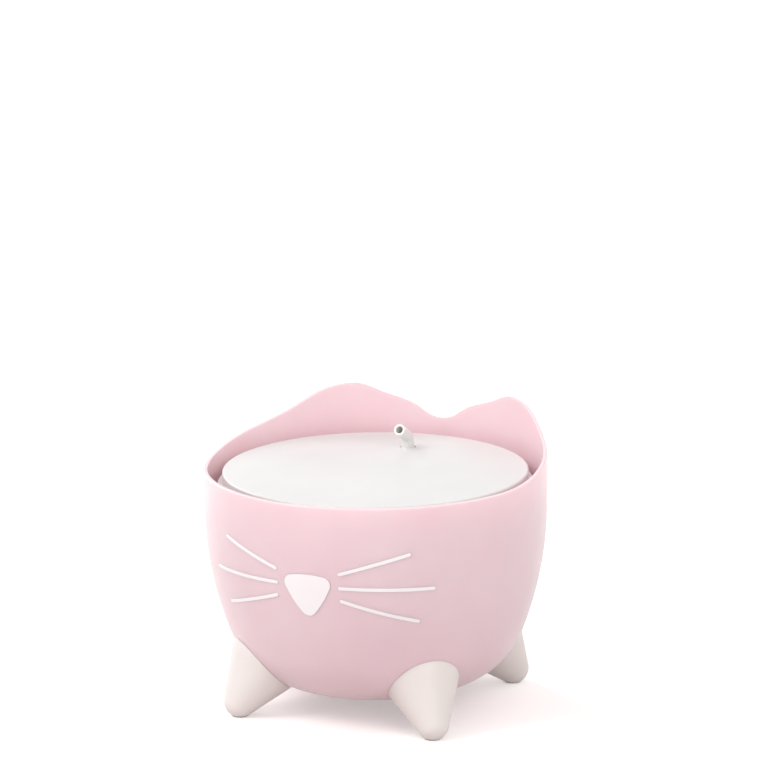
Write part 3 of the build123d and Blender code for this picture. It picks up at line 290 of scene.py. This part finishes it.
def make_handling_marks():
    """Fine rubbed lines that dull the gloss a little; put over a roughness."""
    tree = bpy.data.node_groups.new("handling_marks", "ShaderNodeTree")
    source, result = group_sockets(
        tree,
        [
            ("Place", "vector", None),
            ("Roughness", "value", 0.3),
            ("Amount", "value", 0.1),
            ("Scale", "value", 60.0),
        ],
        [("Roughness", "value")],
    )
    stretch = tree.nodes.new("ShaderNodeMapping")
    stretch.inputs["Scale"].default_value = (1.0, 1.0, 14.0)
    stretch.inputs["Rotation"].default_value = (0.5, 0.3, 0.0)
    tree.links.new(source.outputs["Place"], stretch.inputs["Vector"])
    lines = noise(tree, stretch.outputs["Vector"], source.outputs["Scale"], 5.0, 0.7)
    worn = sums(tree, "MAXIMUM", sums(tree, "SUBTRACT", lines, 0.55), 0.0)
    total = sums(tree, "MULTIPLY_ADD", worn, source.outputs["Amount"], source.outputs["Roughness"])
    tree.links.new(total, result.inputs["Roughness"])
    return tree


def make_granular():
    """Tone of loose grains: each cell its own mix of two colours, with a rough skin."""
    tree = bpy.data.node_groups.new("granular", "ShaderNodeTree")
    source, result = group_sockets(
        tree,
        [
            ("Place", "vector", None),
            ("Light", "colour", (0.6, 0.6, 0.6, 1)),
            ("Dark", "colour", (0.2, 0.2, 0.2, 1)),
            ("Grain Size", "value", 700.0),
            ("Depth", "value", 0.5),
        ],
        [("Colour", "colour"), ("Normal", "vector")],
    )
    cells = tree.nodes.new("ShaderNodeTexVoronoi")
    tree.links.new(source.outputs["Place"], cells.inputs["Vector"])
    tree.links.new(source.outputs["Grain Size"], cells.inputs["Scale"])
    tone = tree.nodes.new("ShaderNodeSeparateColor")
    tree.links.new(cells.outputs["Color"], tone.inputs["Color"])
    colour = blend_colours(
        tree, tone.outputs["Red"], source.outputs["Light"], source.outputs["Dark"]
    )
    tree.links.new(colour, result.inputs["Colour"])
    pits = bump(tree, cells.outputs["Distance"], source.outputs["Depth"], 0.0005)
    tree.links.new(pits, result.inputs["Normal"])
    return tree


def make_fibres():
    """Pressed fleece: crossing fibres in two directions and small loose patches."""
    tree = bpy.data.node_groups.new("fibres", "ShaderNodeTree")
    source, result = group_sockets(
        tree,
        [
            ("Place", "vector", None),
            ("Colour", "colour", (0.9, 0.9, 0.9, 1)),
            ("Shade", "colour", (0.7, 0.7, 0.7, 1)),
            ("Fibre Scale", "value", 500.0),
            ("Depth", "value", 0.6),
        ],
        [("Colour", "colour"), ("Normal", "vector")],
    )
    strands = []
    for turn in (0.6, -0.7):
        lay = tree.nodes.new("ShaderNodeMapping")
        lay.inputs["Rotation"].default_value = (0, 0, turn)
        lay.inputs["Scale"].default_value = (1.0, 9.0, 1.0)
        tree.links.new(source.outputs["Place"], lay.inputs["Vector"])
        strands.append(noise(tree, lay.outputs["Vector"], source.outputs["Fibre Scale"], 3.0, 0.6))
    both = sums(tree, "MAXIMUM", *strands)
    colour = blend_colours(tree, both, source.outputs["Shade"], source.outputs["Colour"])
    tree.links.new(colour, result.inputs["Colour"])
    tree.links.new(bump(tree, both, source.outputs["Depth"], 0.0006), result.inputs["Normal"])
    return tree


MOULDED_SKIN = make_moulded_skin()
HANDLING_MARKS = make_handling_marks()
GRANULAR = make_granular()
FIBRES = make_fibres()


# ---------------------------------------------------------------- materials
def new_material(name):
    """An empty material with its shader, and the place that its patterns are read at."""
    material = bpy.data.materials.new(name)
    material.use_nodes = True
    tree = material.node_tree
    shader = tree.nodes["Principled BSDF"]
    place = tree.nodes.new("ShaderNodeTexCoord").outputs["Object"]
    return material, tree, shader, place


def use_group(tree, group, place, **values):
    """A shader group placed in a material; each value's name is a socket's, with _ for a space."""
    made = tree.nodes.new("ShaderNodeGroup")
    made.node_tree = group
    tree.links.new(place, made.inputs["Place"])
    for name, value in values.items():
        socket = made.inputs[name.replace("_", " ")]
        if isinstance(value, bpy.types.NodeSocket):
            tree.links.new(value, socket)
        else:
            socket.default_value = value
    return made


def moulded(name, colour, shade, rough, grain=0.15, grain_scale=900.0, marks=0.15, **shader_values):
    """A moulded plastic or rubber; shader_values go straight to the shader's sockets."""
    material, tree, shader, place = new_material(name)
    skin = use_group(
        tree, MOULDED_SKIN, place, Colour=linear(*colour), Shade=linear(*shade), Roughness=rough,
        Grain_Depth=grain, Grain_Scale=grain_scale,
    )
    rubbed = use_group(
        tree, HANDLING_MARKS, place, Roughness=skin.outputs["Roughness"], Amount=marks
    )
    tree.links.new(skin.outputs["Colour"], shader.inputs["Base Color"])
    tree.links.new(rubbed.outputs["Roughness"], shader.inputs["Roughness"])
    tree.links.new(skin.outputs["Normal"], shader.inputs["Normal"])
    for socket, value in shader_values.items():
        shader.inputs[socket.replace("_", " ")].default_value = value
    return material


def metal(name, colour, shade, rough, stretch=(1, 1, 1)):
    """A ground or drawn metal: fine lines along one direction."""
    material, tree, shader, place = new_material(name)
    lay = tree.nodes.new("ShaderNodeMapping")
    lay.inputs["Scale"].default_value = stretch
    tree.links.new(place, lay.inputs["Vector"])
    skin = use_group(
        tree, MOULDED_SKIN, lay.outputs["Vector"], Colour=linear(*colour), Shade=linear(*shade),
        Roughness=rough, Grain_Depth=0.25, Grain_Scale=1500.0, Drift_Scale=120.0,
    )
    tree.links.new(skin.outputs["Colour"], shader.inputs["Base Color"])
    tree.links.new(skin.outputs["Roughness"], shader.inputs["Roughness"])
    tree.links.new(skin.outputs["Normal"], shader.inputs["Normal"])
    shader.inputs["Metallic"].default_value = 1
    return material


def granules(name, light, dark):
    """Matt loose grains in two tones."""
    material, tree, shader, place = new_material(name)
    grains = use_group(tree, GRANULAR, place, Light=linear(*light), Dark=linear(*dark))
    tree.links.new(grains.outputs["Colour"], shader.inputs["Base Color"])
    tree.links.new(grains.outputs["Normal"], shader.inputs["Normal"])
    shader.inputs["Roughness"].default_value = 0.85
    return material


def fleece(name, colour, shade):
    """Thin pressed fleece with open places between its fibres."""
    material, tree, shader, place = new_material(name)
    fibres = use_group(tree, FIBRES, place, Colour=linear(*colour), Shade=linear(*shade))
    tree.links.new(fibres.outputs["Colour"], shader.inputs["Base Color"])
    tree.links.new(fibres.outputs["Normal"], shader.inputs["Normal"])
    cover = sums(tree, "MULTIPLY_ADD", noise(tree, place, 420.0, 2.0), 0.3, 0.3)
    tree.links.new(cover, shader.inputs["Alpha"])
    shader.inputs["Roughness"].default_value = 0.95
    shader.inputs["Sheen Weight"].default_value = 0.3
    return material


def clear_film(name, colour, shade):
    """Thin blister film of the cartridge: milky, lets the granules show."""
    material, tree, shader, place = new_material(name)
    skin = use_group(
        tree, MOULDED_SKIN, place, Colour=linear(*colour), Shade=linear(*shade), Roughness=0.25,
        Grain_Depth=0.3, Grain_Scale=260.0, Drift_Scale=40.0,
    )
    cloud = noise(tree, place, 160.0, 3.0)
    milky = sums(tree, "MULTIPLY_ADD", cloud, 0.25, 0.28)
    tree.links.new(skin.outputs["Colour"], shader.inputs["Base Color"])
    tree.links.new(skin.outputs["Roughness"], shader.inputs["Roughness"])
    tree.links.new(skin.outputs["Normal"], shader.inputs["Normal"])
    tree.links.new(milky, shader.inputs["Alpha"])
    return material


def winding(name, light, dark, pitch):
    """Enamelled wire laid side by side; its dark bands are painted shade in the grooves between the
    turns and its light bands painted light on their crowns.
    """
    material, tree, shader, place = new_material(name)
    turned = tree.nodes.new("ShaderNodeMapping")
    turned.inputs["Rotation"].default_value = (0, 0, -PUMP_TURN)
    tree.links.new(place, turned.inputs["Vector"])
    rows = tree.nodes.new("ShaderNodeTexWave")
    rows.inputs["Scale"].default_value = 0.31 / pitch
    rows.inputs["Distortion"].default_value = 0.4
    tree.links.new(turned.outputs["Vector"], rows.inputs["Vector"])
    # dark in the wave's troughs as painted shade between the turns, light on its crests as painted
    # light
    colour = blend_colours(tree, rows.outputs["Fac"], linear(*dark), linear(*light))
    tree.links.new(colour, shader.inputs["Base Color"])
    tree.links.new(bump(tree, rows.outputs["Fac"], 0.6, 0.0003), shader.inputs["Normal"])
    haze = noise(tree, place, 300.0, 2.0)
    tree.links.new(sums(tree, "MULTIPLY_ADD", haze, 0.2, 0.25), shader.inputs["Roughness"])
    shader.inputs["Metallic"].default_value = 0.8
    return material


SOFT_SKIN = {
    "Subsurface_Weight": 0.12,
    "Subsurface_Scale": 0.004,
    "Subsurface_Radius": (1.0, 0.7, 0.6),
}
GLOWING_SKIN = {
    "Subsurface_Weight": 0.5,
    "Subsurface_Scale": 0.009,
    "Subsurface_Radius": (1.0, 0.75, 0.7),
}

bowl_pink = moulded(
    "bowl_pink", (247, 211, 217), (244, 205, 212), 0.34, Coat_Weight=0.15, **GLOWING_SKIN
)
face_white = moulded("face_white", (252, 248, 250), (249, 243, 246), 0.3, Coat_Weight=0.2)
foot_cream = moulded("foot_cream", (239, 232, 229), (234, 227, 223), 0.38, **SOFT_SKIN)
pad_rubber = moulded("pad_rubber", (190, 186, 184), (176, 172, 170), 0.75, 0.5, 1400.0)
tray_white = moulded("tray_white", (231, 229, 228), (226, 224, 223), 0.36, **SOFT_SKIN)
lid_white = moulded("lid_white", (227, 225, 224), (222, 220, 219), 0.33, **SOFT_SKIN)
spout_white = moulded("spout_white", (230, 228, 225), (224, 222, 218), 0.3, **SOFT_SKIN)
pump_white = moulded("pump_white", (236, 237, 238), (230, 231, 233), 0.42, 0.4, 1200.0, marks=0.3)
# the riser tube's faint white emission is a painted glow that brightens it; the silicone gives no
# light of its own
silicone = moulded(
    "silicone", (252, 250, 247), (248, 246, 243), 0.3, IOR=1.41,
    Subsurface_Weight=0.4, Subsurface_Scale=0.004,
    Emission_Color=(1, 1, 0.98, 1), Emission_Strength=0.1,
)
suction_silicone = moulded(
    "suction_silicone", (228, 228, 226), (216, 216, 214), 0.3, Transmission_Weight=0.3
)
cord_vinyl = moulded("cord_vinyl", (240, 238, 236), (232, 230, 228), 0.5, 0.3, 1600.0)
plug_white = moulded("plug_white", (241, 239, 237), (234, 232, 230), 0.35, 0.3, 1200.0)
impeller_blue = moulded("impeller_blue", (96, 132, 172), (82, 118, 160), 0.35)
bush_rubber = moulded("bush_rubber", (52, 52, 54), (40, 40, 42), 0.7, 0.5, 1500.0)
shaft_ceramic = moulded("shaft_ceramic", (240, 239, 236), (230, 229, 226), 0.15, 0.05)
board_green = moulded("board_green", (44, 104, 66), (34, 88, 54), 0.3, 0.2, 800.0)
strap_grey = moulded("strap_grey", (214, 212, 210), (196, 194, 192), 0.85, 0.9, 2600.0)
pin_steel = metal("pin_steel", (200, 200, 198), (182, 182, 180), 0.25, (12, 1, 1))
plug_steel = metal("plug_steel", (214, 214, 214), (198, 198, 198), 0.2, (1, 10, 10))
stator_steel = metal("stator_steel", (126, 126, 130), (96, 96, 100), 0.45, (1, 1, 8))
magnet_ferrite = moulded("magnet_ferrite", (58, 58, 60), (44, 44, 46), 0.6, 0.6, 1500.0)
# the winding's dark colour is painted shade between the wire turns, its light colour painted light
# on their crowns
coil_copper = winding("coil_copper", (204, 128, 78), (128, 66, 34), 0.0004)
carbon_grains = granules("carbon_grains", (158, 168, 172), (112, 124, 130))
resin_grains = granules("resin_grains", (236, 196, 152), (214, 160, 112))
fleece_white = fleece("fleece_white", (246, 246, 242), (222, 222, 216))
film_clear = clear_film("film_clear", (240, 244, 242), (228, 234, 232))


def make_lens_red():
    """Red lamp window with its glow."""
    material = moulded("lens_red", (206, 44, 40), (180, 30, 30), 0.15, Transmission_Weight=0.3)
    shader = material.node_tree.nodes["Principled BSDF"]
    shader.inputs["Emission Color"].default_value = linear(255, 70, 60)
    shader.inputs["Emission Strength"].default_value = 0.5
    return material


lens_red = make_lens_red()

FINISHES = {
    "bowl_shell": bowl_pink,
    "pump_seat": bowl_pink,
    "nose_inlay": face_white,
    "whisker_inlays_left": face_white,
    "whisker_inlays_right": face_white,
    "foot_front_right": foot_cream,
    "foot_rear_right": foot_cream,
    "foot_rear_left": foot_cream,
    "foot_front_left": foot_cream,
    "foot_pads": pad_rubber,
    "filter_tray": tray_white,
    "filter_well": tray_white,
    "outlet_dome": tray_white,
    "ring_hinge_pin": pin_steel,
    "ring_handle": tray_white,
    "filter_casing": film_clear,
    "filter_pods": film_clear,
    "filter_carbon": carbon_grains,
    "filter_resin": resin_grains,
    "filter_fleece": fleece_white,
    "lid": lid_white,
    "lid_skirt": lid_white,
    "spout_collar": spout_white,
    "spout_elbow": spout_white,
    "riser_tube": silicone,
    "pump_housing": pump_white,
    "pump_end_cap": pump_white,
    "stator_core": stator_steel,
    "stator_coil": coil_copper,
    "impeller_cover": pump_white,
    "shaft_bush_front": bush_rubber,
    "shaft_bush_rear": bush_rubber,
    "impeller_shaft": shaft_ceramic,
    "impeller": impeller_blue,
    "rotor_magnet": magnet_ferrite,
    "intake_cover": pump_white,
    "flow_slider": pump_white,
    "light_lens": lens_red,
    "light_board": board_green,
    "suction_feet": suction_silicone,
    "cord_gland": cord_vinyl,
    "power_cord": cord_vinyl,
    "cord_tail": cord_vinyl,
    "cord_coil": cord_vinyl,
    "usb_plug_body": plug_white,
    "usb_plug_shell": plug_steel,
}


def finish_node(name, material):
    """Gives a CAD node its material."""
    mesh = nodes[name].data
    mesh.materials.clear()
    mesh.materials.append(material)


for name, material in FINISHES.items():
    finish_node(name, material)


# ---------------------------------------------------------------- building helpers
def new_piece(name, shape, material, body, smooth=True):
    """Turns a bmesh into a piece of the object that rides on one of its bodies."""
    mesh = bpy.data.meshes.new(name)
    shape.to_mesh(mesh)
    shape.free()
    for face in mesh.polygons:
        face.use_smooth = smooth
    mesh.materials.append(material)
    made = bpy.data.objects.new(name, mesh)
    bpy.context.scene.collection.objects.link(made)
    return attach(made, body)


# ---------------------------------------------------------------- filter cartridge
def pod_inside(x, y, depth, side):
    """How far a place lies inside a pod's walls at a depth; less than 0 is outside."""
    lean = depth * math.tan(POD_DRAFT)
    half, round_r = POD_HALF - lean, POD_CORNER - lean
    best = -1.0
    for row in (-1, 1):
        away_x = abs(x - side * POD_PITCH / 2) - (half - round_r)
        away_y = abs(y - WELL_Y - row * POD_PITCH / 2) - (half - round_r)
        beyond = math.hypot(max(away_x, 0), max(away_y, 0)) + min(max(away_x, away_y), 0) - round_r
        best = max(best, -beyond)
    return min(best, math.hypot(x, y - WELL_Y) - POD_HOLE_R - lean)


def grain_places(side, rng):
    """Centres of the grains that can be seen: the top and bottom layers and those at the walls."""
    places = []
    rows = int(2 * POD_PITCH / GRAIN_PITCH)
    for layer in range(GRAIN_LAYERS):
        depth = GRAIN_R + layer * (POD_DEPTH - 2 * GRAIN_R) / (GRAIN_LAYERS - 1)
        outermost = layer in (0, GRAIN_LAYERS - 1)
        for row in range(-rows, rows + 1):
            y = WELL_Y + row * GRAIN_PITCH * GRAIN_ROW_SHARE
            for column in range(1, rows):
                x = side * (column + 0.5 * (row % 2) + 0.25 * (layer % 2)) * GRAIN_PITCH
                spot = [along + rng.uniform(-GRAIN_JITTER, GRAIN_JITTER) for along in (x, y)]
                room = pod_inside(*spot, depth, side) - GRAIN_R
                if room > 0 and (outermost or room < GRAIN_PITCH):
                    places.append(Vector((*spot, POD_TOP - depth)))
    return places


def fill_pods(name, node, side, material, seed):
    """Loose grains round a core in the two pods of one side, in place of the plain block."""
    rng = random.Random(seed)
    shape = bmesh.new()
    bmesh.ops.create_icosphere(shape, subdivisions=1, radius=GRAIN_R)
    corners = [corner.co.copy() for corner in shape.verts]
    sides = [[corner.index for corner in face.verts] for face in shape.faces]
    shape.free()
    points, faces = [], []
    for place in grain_places(side, rng):
        angle = rng.uniform(0, math.tau)
        axis = Vector((rng.random(), rng.random(), 0.2)).normalized()
        turn = Matrix.Rotation(angle, 3, axis)
        size = rng.uniform(0.8, 1.0)
        shift = len(points)
        points += [place + turn @ (corner * size * rng.uniform(0.9, 1.0)) for corner in corners]
        faces += [[shift + corner for corner in side_corners] for side_corners in sides]
    mesh = bpy.data.meshes.new(name)
    mesh.from_pydata(points, [], faces)
    heap = bmesh.new()
    heap.from_mesh(mesh)
    bpy.data.meshes.remove(mesh)
    made = new_piece(name, heap, material, "filter", smooth=False)
    core = bmesh.new()
    width = 2 * POD_HALF - CORE_INSET
    away = POD_PITCH / 2 + CORE_SHIFT
    for row in (-1, 1):
        block = bmesh.ops.create_cube(core, size=1)["verts"]
        bmesh.ops.scale(core, vec=(width, width, POD_DEPTH - CORE_SINK), verts=block)
        middle = Vector((side * away, WELL_Y + row * away, POD_TOP - POD_DEPTH / 2))
        bmesh.ops.translate(core, vec=middle, verts=block)
    new_piece(name + "_core", core, material, "filter", smooth=False)
    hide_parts(node)


fill_pods("carbon_grains", "filter_carbon", -1, carbon_grains, 11)
fill_pods("resin_grains", "filter_resin", 1, resin_grains, 12)


def rounded_square(half, round_r, middle, height, steps=8):
    """Points round a square with rounded corners."""
    points = []
    for quarter in range(4):
        turn = math.pi / 2 * quarter
        corner = Vector((half - round_r, half - round_r))
        for step in range(steps + 1):
            angle = math.pi / 2 * step / steps
            place = corner + round_r * Vector((math.cos(angle), math.sin(angle)))
            place = Matrix.Rotation(turn, 2) @ place
            points.append(Vector((middle[0] + place.x, middle[1] + place.y, height)))
    return points


def bead(name, points, radius, material, body):
    """Closed round bead along points, such as a weld."""
    shape = bmesh.new()
    ring_sides = 8
    rings = []
    neighbours = zip(points, points[-1:] + points[:-1], points[1:] + points[:1])
    for place, before, after in neighbours:
        along = (after - before).normalized()
        across = along.cross(Vector((0, 0, 1))).normalized()
        up = across.cross(along)
        ring = []
        for step in range(ring_sides):
            angle = math.tau * step / ring_sides
            lean = across * math.cos(angle) + up * math.sin(angle)
            ring.append(shape.verts.new(place + radius * lean))
        rings.append(ring)
    for ring, following in zip(rings, rings[1:] + rings[:1]):
        for step in range(ring_sides):
            nearby = (step + 1) % ring_sides
            shape.faces.new((ring[step], ring[nearby], following[nearby], following[step]))
    bmesh.ops.recalc_face_normals(shape, faces=shape.faces[:])
    new_piece(name, shape, material, body)


for seam_name, seam_half, seam_round in SEAMS:
    seam = rounded_square(seam_half, seam_round, (0, WELL_Y), SEAM_HEIGHT)
    bead(seam_name, seam, SEAM_RADIUS, film_clear, "filter")


# ---------------------------------------------------------------- cord
def coil_points():
    """Turns of the put-away length: four rows that run in and out by turns, each a spiral."""
    points = []
    row_steps = round(COIL_ROW_TURNS * COIL_STEPS)
    climb_steps = COIL_STEPS // 3
    angle = math.radians(90)
    step = 2 * math.pi / COIL_STEPS
    for row in range(COIL_ROWS):
        height = CORD_DIAMETER * (row + 0.5)
        start, end = (COIL_OUTER, COIL_INNER) if row % 2 == 0 else (COIL_INNER, COIL_OUTER)
        stages = [(share / row_steps, 0.0) for share in range(row_steps)]
        if row < COIL_ROWS - 1:
            stages += [(1.0, share / climb_steps) for share in range(climb_steps)]
        else:
            stages.append((1.0, 0.0))
        for along, climbed in stages:
            reach = (start + (end - start) * along) / math.cos(step / 2)
            level = height + CORD_DIAMETER * climbed
            spot = Vector((reach * math.cos(angle), reach * math.sin(angle), level))
            points.append(COIL_CENTRE + spot)
            angle += step
    return points


def nurbs_line(name, points, radius=0.0):
    """Curve object along smooth control points."""
    curve = bpy.data.curves.new(name, "CURVE")
    curve.dimensions = "3D"
    line = curve.splines.new("NURBS")
    line.points.add(len(points) - 1)
    for held, point in zip(line.points, points):
        held.co = (*point, 1)
    line.order_u = 3
    line.use_endpoint_u = True
    line.resolution_u = 4
    curve.bevel_depth = radius
    curve.bevel_resolution = 3
    curve.use_fill_caps = radius > 0
    made = bpy.data.objects.new(name, curve)
    bpy.context.scene.collection.objects.link(made)
    return made


def curve_mesh(line):
    """The mesh that a curve object draws."""
    bpy.context.view_layer.update()
    depsgraph = bpy.context.evaluated_depsgraph_get()
    return bpy.data.meshes.new_from_object(line.evaluated_get(depsgraph))


def lay_cord():
    """The lead from the pump to its plug; its loop runs between the pump and the bowl as one fixed
    shape.
    """
    points = [Vector(point) for point in CORD_ROUTE]
    points += coil_points() + [Vector(point) for point in TAIL_ROUTE]
    middle = nurbs_line("cord_middle", points)
    path = [tuple(vertex.co) for vertex in curve_mesh(middle).vertices]
    bpy.data.objects.remove(middle)
    drawn = nurbs_line("cord_drawn", points, CORD_DIAMETER / 2)
    mesh = curve_mesh(drawn)
    bpy.data.objects.remove(drawn)
    mesh.name = "power_lead"
    mesh.materials.clear()
    mesh.materials.append(cord_vinyl)
    for face in mesh.polygons:
        face.use_smooth = True
    lead = bpy.data.objects.new("power_lead", mesh)
    bpy.context.scene.collection.objects.link(lead)
    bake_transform(lead)
    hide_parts("power_cord", "cord_coil", "cord_tail")
    length = sum((Vector(b) - Vector(a)).length for a, b in zip(path, path[1:]))
    print("cord length", round(length, 4))
    return lead, path


power_lead, cord_path = lay_cord()


def tie_coil():
    """Soft strap round the coil, on its side towards the bowl."""
    shape = bmesh.new()
    high = COIL_ROWS * CORD_DIAMETER + STRAP_WALL
    inner = COIL_INNER - CORD_DIAMETER / 2 - STRAP_WALL
    outer = COIL_OUTER + CORD_DIAMETER / 2 + STRAP_WALL
    corners = [(outer, STRAP_GAP), (outer, high), (inner, high), (inner, STRAP_GAP)]
    ring = [shape.verts.new((reach, 0, height)) for reach, height in corners]
    edges = [shape.edges.new((a, b)) for a, b in zip(ring, ring[1:] + ring[:1])]
    grown = bmesh.ops.extrude_edge_only(shape, edges=edges)
    moved = [v for v in grown["geom"] if isinstance(v, bmesh.types.BMVert)]
    bmesh.ops.translate(shape, verts=moved, vec=(0, STRAP_WIDTH, 0))
    bmesh.ops.translate(shape, verts=shape.verts[:], vec=(0, -STRAP_WIDTH / 2, 0))
    bmesh.ops.recalc_face_normals(shape, faces=shape.faces[:])
    turn = Matrix.Rotation(math.radians(-50), 3, "Z")
    bmesh.ops.rotate(shape, verts=shape.verts[:], cent=(0, 0, 0), matrix=turn)
    bmesh.ops.translate(shape, verts=shape.verts[:], vec=COIL_CENTRE)
    strap = new_piece("coil_strap", shape, strap_grey, "bowl", smooth=False)
    thick = strap.modifiers.new("thickness", "SOLIDIFY")
    thick.thickness = STRAP_WALL
    thick.offset = -1
    rounded = strap.modifiers.new("rounding", "BEVEL")
    rounded.width = 0.0006
    rounded.segments = 3
    return strap


coil_strap = tie_coil()


# ---------------------------------------------------------------- floor, light
def seen_directly(tree):
    """1 where the camera, a reflection or a clear body looks, and 0 for the light that falls."""
    rays = tree.nodes.new("ShaderNodeLightPath").outputs
    through = sums(tree, "MAXIMUM", rays["Is Glossy Ray"], rays["Is Transmission Ray"])
    return sums(tree, "MAXIMUM", rays["Is Camera Ray"], through)


def make_stage():
    """Wide pale floor that keeps the object's shadow and shows white where nothing shades it."""
    shape = bmesh.new()
    bmesh.ops.create_grid(shape, x_segments=1, y_segments=1, size=FLOOR_HALF)
    mesh = bpy.data.meshes.new("floor")
    shape.to_mesh(mesh)
    shape.free()
    floor = bpy.data.objects.new("floor", mesh)
    bpy.context.scene.collection.objects.link(floor)

    material = bpy.data.materials.new("floor_paper")
    material.use_nodes = True
    tree = material.node_tree
    shader = tree.nodes["Principled BSDF"]
    shader.inputs["Roughness"].default_value = 0.9
    shader.inputs["Specular IOR Level"].default_value = 0.1
    seen = seen_directly(tree)
    paper = blend_colours(tree, seen, linear(206, 198, 196), linear(240, 236, 234))
    tree.links.new(paper, shader.inputs["Base Color"])
    shader.inputs["Emission Color"].default_value = (1, 1, 1, 1)
    reach = tree.nodes.new("ShaderNodeVectorMath")
    reach.operation = "LENGTH"
    tree.links.new(tree.nodes.new("ShaderNodeTexCoord").outputs["Object"], reach.inputs[0])
    fade = tree.nodes.new("ShaderNodeMapRange")
    tree.links.new(reach.outputs["Value"], fade.inputs["Value"])
    for limit, value in (("From Min", 0.35), ("From Max", 1.1), ("To Min", 0.34), ("To Max", 1.0)):
        fade.inputs[limit].default_value = value
    glow = sums(tree, "MULTIPLY", seen, fade.outputs["Result"])
    tree.links.new(glow, shader.inputs["Emission Strength"])
    mesh.materials.append(material)


def soft_light(name, place, aim, width, power):
    """A round white lamp that is turned towards a point; power is in watts."""
    data = bpy.data.lights.new(name, "AREA")
    data.shape = "DISK"
    data.size = width
    data.energy = power
    lamp = bpy.data.objects.new(name, data)
    bpy.context.scene.collection.objects.link(lamp)
    lamp.location = place
    lamp.rotation_mode = "QUATERNION"
    lamp.rotation_quaternion = (Vector(aim) - Vector(place)).to_track_quat("-Z", "Y")


def make_light():
    """White world, and three large soft lamps."""
    world = bpy.data.worlds.new("studio")
    bpy.context.scene.world = world
    world.use_nodes = True
    tree = world.node_tree
    background = tree.nodes["Background"]
    background.inputs["Color"].default_value = (1, 1, 1, 1)
    strength = sums(tree, "MULTIPLY_ADD", seen_directly(tree), 0.25, 0.75)
    tree.links.new(strength, background.inputs["Strength"])
    soft_light("key", (-1.1, -1.2, 1.7), (0, 0, 0.12), 1.1, 19)
    soft_light("fill", (1.5, -1.4, 1.1), (0, 0, 0.12), 1.4, 12)
    soft_light("back", (-1.5, 0.9, 1.1), (0, 0, 0.10), 0.7, 9)


make_stage()
make_light()
bpy.context.scene.view_settings.view_transform = "Standard"
